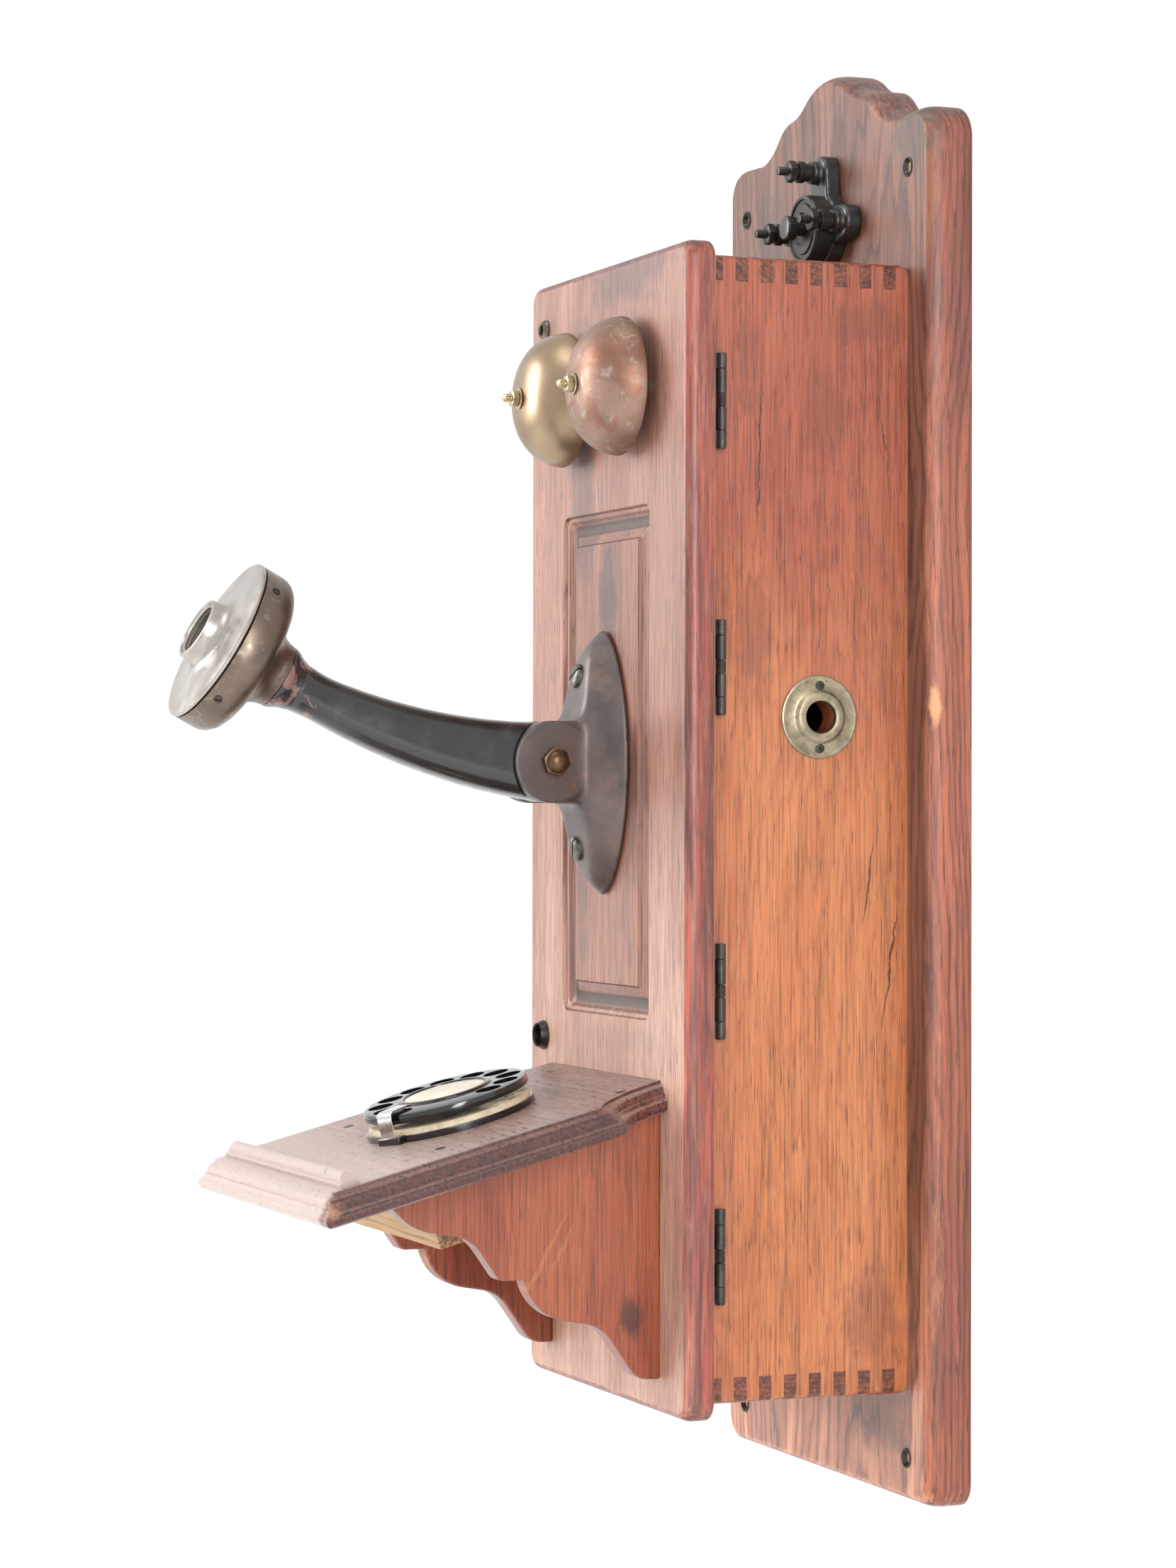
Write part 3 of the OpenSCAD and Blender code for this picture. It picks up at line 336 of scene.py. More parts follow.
def lathe(name, profile, place, sides, body, slot, mat=None, angle=30, closed=False, stands_for=()):
    """A piece turned on a lathe."""
    return piece(name, *turned(profile, place, sides, closed), body, slot, mat, angle,
                 stands_for=stands_for, merge=True)


def flat_faces(o):
    """Keeps the shading of wide flat faces flat up to their rounded edges."""
    n = o.modifiers.new("flat", "WEIGHTED_NORMAL")
    n.mode = "FACE_AREA"
    n.weight = 100
    n.keep_sharp = True
    return o


def add_bevel(o, width, segments=2, angle=38):
    b = o.modifiers.new("edge", "BEVEL")
    b.width = width
    b.segments = segments
    b.limit_method = "ANGLE"
    b.angle_limit = radians(angle)
    b.use_clamp_overlap = True


def baked(o):
    """Applies a piece's modifiers to its mesh."""
    me = bpy.data.meshes.new_from_object(o.evaluated_get(bpy.context.evaluated_depsgraph_get()))
    o.modifiers.clear()
    o.data = me
    return o


def cut_by(o, me):
    """Cuts a closed mesh out of a piece."""
    c = linked("cut", me)
    b = o.modifiers.new("cut", "BOOLEAN")
    b.object = c
    b.operation = "DIFFERENCE"
    b.solver = "EXACT"
    bpy.context.view_layer.update()
    baked(o)
    bpy.data.objects.remove(c)
    finish_mesh(o.data, SMOOTH)
    return o


def carve(o, cutters):
    """Cuts holes given in metres as (matrix, radius or (width, height), low, high, sides)."""
    bm = bmesh.new()
    for m, r, lo, hi, sides in cutters:
        at = m @ Matrix.Translation((0, 0, (lo + hi) / 2))
        if isinstance(r, tuple):
            bmesh.ops.create_cube(bm, size=1, matrix=at @ Matrix.Diagonal((*r, hi - lo, 1)))
        else:
            bmesh.ops.create_cone(bm, cap_ends=True, segments=sides, radius1=r, radius2=r,
                                  depth=hi - lo, matrix=at)
    me = bpy.data.meshes.new("cut")
    bm.to_mesh(me)
    bm.free()
    return cut_by(o, me)


def trim(o, *parts):
    """Cuts lofted closed shapes out of a piece."""
    for v, f in parts:
        me = bpy.data.meshes.new("cut")
        me.from_pydata([tuple(p) for p in v], [], f)
        bm = bmesh.new()
        bm.from_mesh(me)
        bmesh.ops.recalc_face_normals(bm, faces=bm.faces)
        bm.to_mesh(me)
        bm.free()
        cut_by(o, me)


def loft(rings, cap=(True, True)):
    """Vertices and faces through rings of points that all have the same count."""
    n = len(rings[0])
    verts = [p for r in rings for p in r]
    faces = [(i * n + j, i * n + (j + 1) % n, (i + 1) * n + (j + 1) % n, (i + 1) * n + j)
             for i in range(len(rings) - 1) for j in range(n)]
    if cap[0]:
        faces.append(tuple(range(n)))
    if cap[1]:
        faces.append(tuple((len(rings) - 1) * n + j for j in range(n)))
    return verts, faces


def turned(profile, place, sides=72, closed=False):
    """A lathe-turned skin from (radius, height) pairs in mm, set in place by a matrix."""
    ring = [(cos(TAU * i / sides), sin(TAU * i / sides)) for i in range(sides)]
    prof = list(profile) + ([profile[0]] if closed else [])
    rings = [[local(place, r * c, r * s, h) for c, s in ring] for r, h in prof]
    return loft(rings, (False, False))


def joined(*parts):
    """Several (vertices, faces) pairs as one."""
    verts, faces = [], []
    for v, f in parts:
        faces += [tuple(i + len(verts) for i in q) for q in f]
        verts += list(v)
    return verts, faces


def arc(cx, cy, r, a0, a1, steps):
    """Points on an arc round a centre, between two angles in degrees."""
    turns = [radians(a0 + (a1 - a0) * i / steps) for i in range(steps + 1)]
    return [(cx + r * cos(a), cy + r * sin(a)) for a in turns]


def lerp(a, b, t):
    return a + (b - a) * t


def on_front(x, depth, z):
    """A matrix with its z out of a plane at a depth in front of the wall."""
    return Matrix.Translation(mm(x, -depth, z)) @ turn_by(90, "X")


def on_right(x, y, z):
    """A matrix with its z to the right."""
    return Matrix.Translation(mm(x, y, z)) @ turn_by(90, "Y")


def refined(node, mat, bevel):
    """A copy of a CAD node with its planes merged and its edges eased by a bevel in millimetres."""
    bm = bmesh.new()
    bm.from_mesh(NODES[node].data)
    bmesh.ops.remove_doubles(bm, verts=bm.verts, dist=2e-6)
    bmesh.ops.dissolve_limit(bm, angle_limit=radians(0.8), verts=bm.verts, edges=bm.edges)
    bmesh.ops.recalc_face_normals(bm, faces=bm.faces)
    me = bpy.data.meshes.new("part_" + node)
    bm.to_mesh(me)
    bm.free()
    finish_mesh(me, SMOOTH)
    o = linked(me.name, me)
    me.materials.append(MATS[mat])
    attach(o, BODY_OF[node])
    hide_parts(node)
    if bevel:
        add_bevel(o, bevel / 1000)
    return o


def cast(name, parts, body, slot, mat, voxel, rounds, stands_for):
    """Joins closed meshes into one casting, with softened inner and outer corners."""
    o = piece(name, *joined(*parts), body, slot, mat, 180, stands_for=stands_for, merge=True)
    r = o.modifiers.new("skin", "REMESH")
    r.mode = "VOXEL"
    r.voxel_size = voxel / 1000
    s = o.modifiers.new("soft", "SMOOTH")
    s.iterations = rounds
    s.factor = 0.5
    bpy.context.view_layer.update()
    baked(o)
    o.data.materials.clear()
    o.data.materials.append(MATS[mat])
    finish_mesh(o.data, 180)
    return o


# ---------------------------------------------------------------- colours
def box_tint(g, col):
    """Redder and darker towards the top and the door, with stains and four fine cracks."""
    ragged = g.mul(g.noise(1.0, g.scaled((16, 16, 9)), 5, 0.66), 0.26)
    high = g.step(g.add(g.axis(2), ragged), 0.13, 0.30)
    front = g.step(g.add(g.axis(1), g.mul(ragged, 0.16)), -0.072, -0.112, 0.0, 0.55)
    col = g.tint(g.math("MAXIMUM", high, front), col, (0.70, 0.52, 0.72))
    stains = ((-0.065, 0.182, 0.014, 0.03), (-0.044, 0.226, 0.03, 0.012), (-0.04, -0.235, 0.02, 0.03),
              (-0.10, 0.08, 0.012, 0.035), (-0.104, 0.205, 0.009, 0.03))
    for y, z, ry, rz in stains:
        stain = g.blob((0.092, y, z), (0.02, ry, rz), 0.8)
        col = g.mix(g.mul(stain, 0.42), col, (0.13, 0.034, 0.022))
    for args in ((1, -0.098, 0.05, 0.128, 0.202, 0.0008), (1, -0.0425, 0.12, -0.052, -0.012, 0.0009),
                 (1, -0.0315, 0.14, -0.098, -0.046, 0.0010), (1, -0.0355, -0.2, 0.166, 0.184, 0.0006)):
        col = g.mix(g.crack(*args), col, (0.03, 0.010, 0.008))
    return col


def door_tint(g, col):
    """Grey stains, painted shade along the floor of the panel's groove, painted sheen that makes the lower
    half paler, and a darker panel.
    """
    for x, z, rx, rz, a in ((2, 424, 16, 34, 0.75), (-30, 470, 20, 60, 0.45), (30, 575, 60, 18, 0.5),
                            (20, 215, 60, 8, 0.15), (-30, 300, 10, 70, 0.4), (34, 330, 9, 50, 0.35)):
        mask = g.mul(g.blob(tuple(mm(x, -137, z)), (rx / 1000, 0.02, rz / 1000), 0.7), a)
        col = g.mix(mask, col, (0.055, 0.042, 0.045))
    # painted shade: the floor of the panel's groove, where shade falls, is painted dark
    groove_shade_depth = g.step(g.axis(1), -0.1366, -0.1345)
    inside = g.mul(g.step(g.axis(1), -0.1333, -0.1327), groove_shade_depth)
    inside = g.mul(inside, g.step(g.axis(1), -0.1290, -0.1300))
    panel = g.mul(g.step(g.abs(g.axis(0)), 0.0560, 0.0550), inside)
    col = g.mix(g.mul(panel, 0.85), col, (0.030, 0.013, 0.010))
    front = g.step(g.axis(1), -0.133, -0.1372)
    # painted sheen: the door's front is painted paler towards the bottom
    low = g.mul(g.step(g.axis(2), 0.04, -0.12, 0.0, 0.8), front)
    col = g.tint(low, col, (1.55, 1.85, 1.9))
    field = g.step(g.abs(g.axis(0)), 0.050, 0.046)
    field = g.mul(field, g.mul(g.step(g.axis(2), -0.094, -0.090), g.step(g.axis(2), 0.138, 0.134)))
    return g.tint(g.mul(field, front), col, (0.80, 0.68, 0.62))


def board_tint(g, col):
    """Redder edges with worn orange spots, painted sheen that makes the foot paler, a chip in the right edge
    and stains.
    """
    side = g.step(g.abs(g.axis(0)), 0.108, 0.1135)
    lit = g.noise(1.0, g.scaled((60, 60, 12), (3, 1, 2)), 5, 0.7)
    col = g.tint(g.mul(side, 0.8), col, (1.3, 0.85, 0.72))
    lit = g.mul(g.step(lit, 0.56, 0.68), g.step(g.axis(1), -0.006, -0.016))
    col = g.mix(g.mul(side, lit), col, (0.30, 0.105, 0.045))
    top = g.mul(side, g.step(g.axis(2), 0.08, 0.26))
    col = g.tint(top, col, (0.72, 0.70, 0.80))
    # painted sheen: the board's face is painted paler towards its foot
    low = g.step(g.axis(2), -0.16, -0.24)
    col = g.tint(g.mul(low, g.sub(1.0, side)), col, (2.6, 2.9, 2.9))
    chip = g.blob((0.1125, -0.0185, 0.049), (0.004, 0.0035, 0.013), 0.5, 160)
    col = g.mix(g.mul(chip, 0.9), col, (0.60, 0.27, 0.12))
    for x, z, rx, rz in ((96, 640, 26, 26), (60, 40, 40, 26), (-60, 600, 20, 40)):
        mask = g.mul(g.blob(tuple(mm(x, -22, z)), (rx / 1000, 0.02, rz / 1000), 0.8), 0.6)
        col = g.mix(mask, col, (0.060, 0.048, 0.044))
    return col


def bracket_tint(g, col):
    """Two long pale scratches and a knot."""
    for args in ((1, -0.196, 0.55, -0.232, -0.180, 0.0022), (1, -0.186, 0.5, -0.215, -0.185, 0.0012)):
        col = g.mix(g.mul(g.crack(*args), 0.35), col, (0.44, 0.17, 0.06))
    return g.mix(g.mul(g.blob((0.069, -0.152, -0.232), (0.02, 0.008, 0.013), 0.7), 0.8), col,
                 (0.05, 0.014, 0.010))


def shelf_tint(g, col):
    """Painted sheen that makes the shelf paler towards the front edge, dark red on the right-hand moulding.
    """
    # painted sheen: the shelf is painted paler towards its front edge, except on the right-hand moulding
    pale = g.step(g.axis(1), -0.20, -0.315, 0.0, 0.8)
    right = g.step(g.axis(0), 0.086, 0.093)
    pale = g.mul(pale, g.sub(1.0, right))
    col = g.mix(pale, col, g.mix(0.75, col, (0.62, 0.50, 0.45)))
    col = g.tint(g.mul(right, 0.45), col, (0.42, 0.20, 0.17))
    worn = g.blob(tuple(mm(98, -311, 149)), (0.008, 0.012, 0.010), 0.6, 200)
    col = g.mix(g.mul(worn, 0.7), col, (0.42, 0.20, 0.11))
    return g.mix(g.mul(g.step(g.noise(150, None, 4, 0.7), 0.62, 0.70), 0.5), col, (0.10, 0.05, 0.04))


wood("backboard_wood", (0.255, 0.108, 0.066), (0.160, 0.060, 0.036), (0.062, 0.024, 0.018), seed=2.0,
     heart=(0.05, 0.12), ring=0.0032, swirl=0.05, lines=0.6, pores=0.7, wear=(0.28, 0.098, 0.042),
     gloss=0.4, extra=board_tint)
wood("door_wood", (0.41, 0.215, 0.160), (0.315, 0.148, 0.106), (0.19, 0.072, 0.050), seed=7.0,
     heart=(0.30, -0.10), ring=0.0021, swirl=0.03, lines=0.2, pores=0.8, fibre=1.0, blotch=0.65,
     wear=(0.195, 0.034, 0.020), gloss=0.42, extra=door_tint, coat=0.2)
wood("box_wood", (0.46, 0.172, 0.064), (0.38, 0.122, 0.043), (0.26, 0.068, 0.026), seed=13.0,
     heart=(-0.10, -0.11), ring=0.0034, swirl=0.10, lines=0.26, pores=0.75, gloss=0.33, extra=box_tint,
     blotch=0.34, fibre=1.0)
wood("box_end", (0.30, 0.105, 0.045), (0.21, 0.066, 0.030), (0.12, 0.036, 0.020), grain=0, seed=17.0,
     heart=(-0.06, 0.30), ring=0.0024, swirl=0.02, lines=0.6, gloss=0.4, pores=0.9)
wood("bracket_wood", (0.33, 0.090, 0.034), (0.24, 0.052, 0.020), (0.13, 0.026, 0.013), seed=23.0,
     heart=(0.2, -0.3), ring=0.0022, swirl=0.03, lines=0.12, gloss=0.34, pores=0.6, fibre=1.0,
     extra=bracket_tint)
wood("shelf_wood", (0.30, 0.195, 0.160), (0.215, 0.128, 0.102), (0.115, 0.058, 0.045), grain=0, seed=31.0,
     heart=(-0.3, -0.4), ring=0.0030, swirl=0.02, lines=0.2, fleck=0.4, pores=1.0, gloss=0.42,
     extra=shelf_tint, coat=0.25, dash=(620, 130), end=(0.42, 0.17, 0.15))
wood("pine", (0.60, 0.40, 0.19), (0.50, 0.30, 0.13), (0.32, 0.16, 0.06), grain=0, seed=41.0,
     heart=(-0.2, -0.25), ring=0.004, gloss=0.6, pores=0.1)


def chips(*places):
    """Patches where the black paint has flaked off, at places given as (centre, radii)."""
    def extra(g, col):
        flake = g.step(g.noise(110, None, 5, 0.62, 0.7), 0.53, 0.56)
        for centre, radii in places:
            area = g.blob(centre, radii, 0.4, 60, 1.0, 0.75)
            col = g.mix(g.mul(area, flake), col, (0.155, 0.080, 0.064))
        return col
    return extra


def tarnish(g, col):
    """Rusty clouds and small grey-green dots."""
    cloud = g.step(g.noise(40, g.scaled((1, 1, 1), (4, 2, 7)), 4, 0.6, 0.8), 0.50, 0.62)
    cloud = g.math("MAXIMUM", cloud, g.blob((0.052, -0.165, 0.212), (0.018, 0.02, 0.012), 0.6, 120))
    col = g.mix(g.mul(cloud, 0.6), col, (0.22, 0.085, 0.05))
    dots = g.node("ShaderNodeTexVoronoi")
    g.put(dots.inputs["Vector"], g.co)
    dots.inputs["Scale"].default_value = 150
    some = g.step(g.noise(60, None, 2), 0.50, 0.56)
    dot = g.mul(g.step(dots.outputs["Distance"], 0.26, 0.18), some)
    return g.mix(g.mul(dot, 0.8), col, (0.20, 0.185, 0.155))


def rusty(g, col):
    """A painted highlight that makes the dome of the flange next to the door lighter, and rust on the cheek
    round the pivot nut.
    """
    area = g.blob((0.0175, -0.166, 0.020), (0.03, 0.022, 0.024), 0.5, 70)
    # painted highlight: the flange and its fillet next to the door are painted lighter
    dome = g.step(g.axis(1), -0.160, -0.150)
    col = g.tint(dome, col, (1.5, 1.42, 1.42))
    col = g.mix(g.mul(area, 0.75), col, (0.062, 0.036, 0.029))
    flake = g.step(g.noise(260, None, 5, 0.7, 0.5), 0.56, 0.60)
    near = g.blob((0.0175, -0.163, 0.022), (0.03, 0.016, 0.017), 0.5, 70)
    return g.mix(g.mul(near, flake), col, (0.13, 0.045, 0.026))


metal("black_iron", (0.014, 0.014, 0.015), (0.008, 0.008, 0.009), 0.2, 0.0, 45, 0.05,
      spots=(0.035, 0.032, 0.03), spot_size=60, spot_amount=0.5, coat=0.4,
      extra=chips(((0, -0.293, 0.0535), (0.03, 0.013, 0.016)), ((0, -0.232, 0.003), (0.03, 0.03, 0.007))))
metal("worn_iron", (0.082, 0.062, 0.054), (0.030, 0.027, 0.027), 0.42, 0.15, 30, 0.10,
      spots=(0.105, 0.068, 0.050), spot_size=64, spot_amount=0.5, coat=0.1, extra=rusty)
metal("dark_metal", (0.055, 0.052, 0.046), (0.020, 0.019, 0.018), 0.38, 0.7, 90, 0.15,
      spots=(0.09, 0.07, 0.05), spot_size=300, spot_amount=0.4)
metal("base_screw", (0.16, 0.15, 0.13), (0.06, 0.056, 0.05), 0.38, 0.8, 160, 0.12)
metal("nut_bronze", (0.143, 0.0816, 0.042), (0.0612, 0.0347, 0.0192), 0.36, 0.8, 160, 0.12)
metal("screw_metal", (0.085, 0.070, 0.058), (0.04, 0.033, 0.028), 0.32, 0.8, 200, 0.1)
metal("ferrule", (0.20, 0.165, 0.125), (0.09, 0.075, 0.06), 0.34, 0.8, 160, 0.1)
metal("bell_brass", (0.345, 0.25, 0.168), (0.281, 0.202, 0.128), 0.33, 1.0, 14, 0.015,
      spots=(0.30, 0.20, 0.10), spot_size=170, spot_amount=0.3)
metal("bell_tarnished", (0.29, 0.185, 0.140), (0.17, 0.092, 0.062), 0.46, 0.75, 30, 0.12,
      spots=(0.44, 0.38, 0.31), spot_size=150, spot_amount=0.5, extra=tarnish)
metal("aged_brass", (0.36, 0.30, 0.20), (0.17, 0.145, 0.10), 0.4, 0.85, 110, 0.14,
      spots=(0.09, 0.08, 0.06), spot_size=420, spot_amount=0.5)
metal("hinge_brass", (0.060, 0.053, 0.046), (0.030, 0.027, 0.025), 0.4, 0.5, 140, 0.14,
      spots=(0.11, 0.09, 0.065), spot_size=400, spot_amount=0.5)
metal("brass_nut", (0.56, 0.46, 0.30), (0.30, 0.235, 0.14), 0.24, 1.0, 120, 0.08)
metal("transmitter_metal", (0.159, 0.122, 0.096), (0.0999, 0.0756, 0.0585), 0.33, 0.85, 40, 0.05,
      spots=(0.30, 0.25, 0.20), spot_size=120, spot_amount=0.5)
# face_metal is a lighter copy of the transmitter's metal for its face: painted reflection of the bright
# surroundings
metal("face_metal", (0.419, 0.386, 0.359), (0.283, 0.246, 0.218), 0.3, 0.85, 34, 0.015,
      spots=(0.40, 0.35, 0.30), spot_size=60, spot_amount=0.35)
metal("mouth_metal", (0.30, 0.27, 0.23), (0.17, 0.15, 0.13), 0.45, 0.2, 60, 0.02)
metal("steel", (0.42, 0.41, 0.39), (0.22, 0.21, 0.20), 0.33, 1.0, 90, 0.08)
metal("chrome", (0.72, 0.72, 0.71), (0.50, 0.49, 0.46), 0.12, 1.0, 120, 0.03)
metal("black_enamel", (0.006, 0.006, 0.007), (0.004, 0.004, 0.005), 0.12, 0.0, 60, 0.015,
      spots=(0.02, 0.02, 0.02), spot_size=240, spot_amount=0.5, coat=0.5)
metal("cream_card", (0.70, 0.65, 0.54), (0.56, 0.49, 0.37), 0.4, 0.0, 120, 0.05, spots=(0.34, 0.25, 0.15),
      spot_size=500, spot_amount=0.35)
metal("winding", (0.17, 0.035, 0.022), (0.09, 0.02, 0.014), 0.55, 0.0, 90, 0.6, brushed=(2600, 10, 10))
metal("tin_case", (0.42, 0.43, 0.42), (0.27, 0.275, 0.27), 0.4, 0.9, 40, 0.1)
metal("chipped_iron", (0.014, 0.014, 0.015), (0.008, 0.008, 0.009), 0.24, 0.0, 45, 0.06, coat=0.4,
      extra=chips(((0, -0.30, 0.06), (0.05, 0.05, 0.05))))
metal("arrester_iron", (0.022, 0.022, 0.021), (0.010, 0.010, 0.010), 0.34, 0.2, 60, 0.1,
      spots=(0.05, 0.045, 0.035), spot_size=160, spot_amount=0.5, coat=0.3)
metal("number_ring", (0.62, 0.53, 0.38), (0.42, 0.33, 0.21), 0.4, 0.0, 130, 0.05,
      spots=(0.18, 0.135, 0.09), spot_size=380, spot_amount=0.5)


# ---------------------------------------------------------------- outlines
def walk(p, heading, steps, detail=5.0):
    """Points along arcs and lines from a place, each step a radius (or a length) and a turn in degrees."""
    pts, (x, y), h = [], p, heading
    for r, turn in steps:
        a = radians(h)
        if turn == 0:
            x, y = x + r * cos(a), y + r * sin(a)
            pts.append((x, y))
        elif r:
            side = 1 if turn > 0 else -1
            cx, cy = x - r * side * sin(a), y + r * side * cos(a)
            n = ceil(abs(turn) / detail)
            for i in range(1, n + 1):
                b = radians(h + turn * i / n)
                pts.append((cx + r * side * sin(b), cy - r * side * cos(b)))
            x, y = pts[-1]
        h += turn
    return pts


def both_sides(half):
    """A closed outline from its right half, which runs from the middle top to the foot."""
    return half + [(-x, y) for x, y in reversed(half) if abs(x) > 1e-6]


# ---------------------------------------------------------------- backboard
CREST = [(40, -35), (36, 30), (20, -40), (40, 47), (16.4, 0), (11, -92)]
BOARD_W, BOARD_T, INSET, CREST_H = 229, 22.5, 5, 676
SCREW_X, SCREW_Z = 92, (21, 623)
BOX_HALF, BOX_FOOT, BOX_TOP = 92, 51, 577


def board_ring(d, depth):
    """The backboard's outline, moved out by d, at a depth from the wall."""
    k = (BOARD_W / 2 - INSET) / 110.3
    steps = [(s[0] * k, 0) if s[1] == 0 else (s[0] * k + (d if s[1] < 0 else -d), s[1]) for s in CREST]
    side, foot, r = BOARD_W / 2 - INSET + d, INSET - d, 10
    half = [(0, CREST_H + d)] + [(min(x, side), z) for x, z in walk((0, CREST_H + d), 0, steps)]
    last = half[-1][1]
    half += [(side, lerp(last, foot + r, i / 12)) for i in range(1, 12)]
    half += arc(side - r, foot + r, r, 0, -90, 10)
    return [mm(x, -depth, z) for x, z in both_sides(half)]


def build_backboard():
    prof = [(4.1, 0.0), (4.8, 0.8), (5, 2), (5, 8), (5, 11.5)]
    prof += [(5 * cos(a), 11.5 + 11 * sin(a)) for a in [radians(x) for x in range(12, 91, 13)]]
    prof += [(-1.0, 22.5)]
    rings = [board_ring(d, y) for d, y in prof]
    n = len(rings[0])
    wear = [w for d, y in prof
            for w in [0.72 if 12 < y < 22.4 else (0.45 if y >= 8 and d >= 0 else 0.1)] * n]
    wear[-n:] = [0.3] * n
    o = piece("backboard_shaped", *loft(rings), "cabinet", "backboard_wood", angle=40, wear=wear,
              stands_for=("backboard",))
    holes = [(on_front(x, 0, z), r, lo, hi, 40) for x in (-SCREW_X, SCREW_X) for z in SCREW_Z
             for r, lo, hi in ((0.0024, -0.002, 0.021), (0.00464, 0.0195, 0.024))]
    flat_faces(carve(o, holes))


# ---------------------------------------------------------------- door
DOOR_BACK, DOOR_FRONT = 123.3, 137.5
CLAPPER_SLOT_Z, LOWER_HOLE, UPPER_HOLE = 507, (-79.5, 211), (-78.5, 560)


def rounded(x, z0, z1, r, depth, k=9):
    """A ring with round corners, symmetric in x, on a plane at a depth from the wall."""
    pts = []
    corners = (x - r, z1 - r, 90), (x - r, z0 + r, 0), (-x + r, z0 + r, -90), (-x + r, z1 - r, -180)
    for cx, cz, a in corners:
        pts += arc(cx, cz, r, a, a - 90, k)
    return [mm(px, -depth, pz) for px, pz in pts]


def build_door():
    w, z0, z1, r = 99.7, 44, 583, 9          # half width, foot, top and corner radius
    edge = [(1.0, 0.0), (0.2, 0.9), (0, 2), (0, 8.4)]
    edge += [(4.6 * (1 - cos(a)), 8.4 + 5.8 * sin(a)) for a in [radians(x) for x in range(15, 91, 15)]]
    rings = [rounded(w - d, z0 + d, z1 - d, max(r - d, 1), DOOR_BACK + y) for d, y in edge]
    groove = [(-0.4, 0, 5.4), (0.1, 0.35, 5.2), (0.4, 1.5, 5), (0.8, 2.0, 4.9), (2.0, 2.2, 4.5),
              (2.6, 2.6, 4.3), (3.6, 3.9, 3.8), (4.8, 4.7, 3.2), (6.4, 5.0, 2.4), (8.6, 5.0, 1.2),
              (9.4, 4.8, 0.6), (11.6, 3.7, 0.5), (14.2, 2.5, 0.45), (14.6, 2.3, 0.42), (15.0, 1.2, 0.4),
              (15.4, 0.8, 0.4), (16.0, 0.7, 0.35)]
    rings += [rounded(54.5 - d, 224.5 + d, 465 - d, q, DOOR_FRONT - y) for d, y, q in groove]
    n = len(rings[0])
    wear = []
    for i in range(len(rings)):
        j = i - len(edge)
        wear += [1.0 if 1 <= i < len(edge) - 1 else (0.5 if 0 <= j < 2 or 11 < j < 16 else 0.1)] * n
    o = piece("door_panelled", *loft(rings), "door", "door_wood", angle=25, wear=wear, stands_for=("door",))
    flat_faces(carve(o, [(on_front(0, DOOR_BACK, CLAPPER_SLOT_Z), (0.015, 0.011), -0.002, 0.02, 0),
                         (on_front(LOWER_HOLE[0], DOOR_BACK, LOWER_HOLE[1]), 0.0062, -0.002, 0.02, 40),
                         (on_front(UPPER_HOLE[0], DOOR_BACK, UPPER_HOLE[1]), 0.0036, -0.002, 0.02, 32)]))


# ---------------------------------------------------------------- bells
BELL_X, BELL_Z, BELL_SEAT = 35.7, 521, 144


def build_bells():
    r, h, wall = 32.5, 24.0, 1.6
    dome = [(r * cos(a) ** 0.8, h * sin(a)) for a in [radians(x) for x in range(3, 85, 3)]]
    inner = [(max((r - wall) * cos(a) ** 0.8, 3.0), (h - wall) * sin(a))
             for a in [radians(x) for x in range(87, 0, -6)]]
    lip = [(r - wall, 0.2), (r - wall + 0.3, -0.1), (r - 0.4, -0.15), (r + 0.05, 0.3), (r + 0.05, 1.4)]
    prof = dome + [(6.0, 23.85), (2.4, 24.0), (2.2, 22.3)] + inner + lip
    for side, name, slot in ((-1, "bell_left", "bell_brass"), (1, "bell_right", "bell_tarnished")):
        lathe(name + "_spun", prof, on_front(side * BELL_X, BELL_SEAT, BELL_Z), 96, "door", slot,
              closed=True, stands_for=(name,))
    for side in (-1, 1):
        place = on_front(side * BELL_X, BELL_SEAT, BELL_Z)
        parts = [turned([(0, 24.1), (5.0, 24.1), (5.2, 24.5), (4.8, 25.0), (4.0, 25.1)], place, 40)]
        parts += [hexagon(place, 4.3, 25.0, 28.4)]
        thread = [(2.1, 28.3)] + [(2.15 if i % 2 else 1.85, 28.6 + i * 0.32) for i in range(9)]
        parts += [turned(thread + [(1.7, 31.8), (0.9, 32.3), (0, 32.35)], place, 28)]
        piece("bell_nut_" + ("left" if side < 0 else "right"), *joined(*parts), "door", "brass_nut",
              stands_for=("bell_nuts",) if side < 0 else (), merge=True)


def hexagon(place, r, lo, hi, turn=0.0):
    """A hexagon nut body with chamfered corners."""
    def ring(rad, h):
        corners = [turn + TAU * i / 6 for i in range(6)]
        return [local(place, rad * cos(a), rad * sin(a), h) for a in corners]
    c = 0.08 * r
    return loft([ring(r - c, lo), ring(r, lo + c), ring(r, hi - c), ring(r - 2.2 * c, hi)])


# ---------------------------------------------------------------- transmitter
FACE, TILT = (0, -329, 399.8), 29
MOUTH = Matrix.Translation(mm(*FACE)) @ turn_by(90 - TILT, "X")
PIVOT = (-170, 345)


def bent_arm(t):
    """The arm's middle line: its place and its tilt, from the pivot at 0 to the neck at 1."""
    a0, a1 = 4, TILT
    n = (FACE[1] + 32.5 * cos(radians(TILT)), FACE[2] - 32.5 * sin(radians(TILT)))
    cy, cz = n[0] - PIVOT[0], n[1] - PIVOT[1]
    long = hypot(cy, cz)
    sag = long / 2 * tan(radians((a1 - a0) / 4)) * 4 * t * (1 - t)
    return (PIVOT[0] + cy * t - cz / long * sag, PIVOT[1] + cz * t + cy / long * sag, a0 + (a1 - a0) * t)


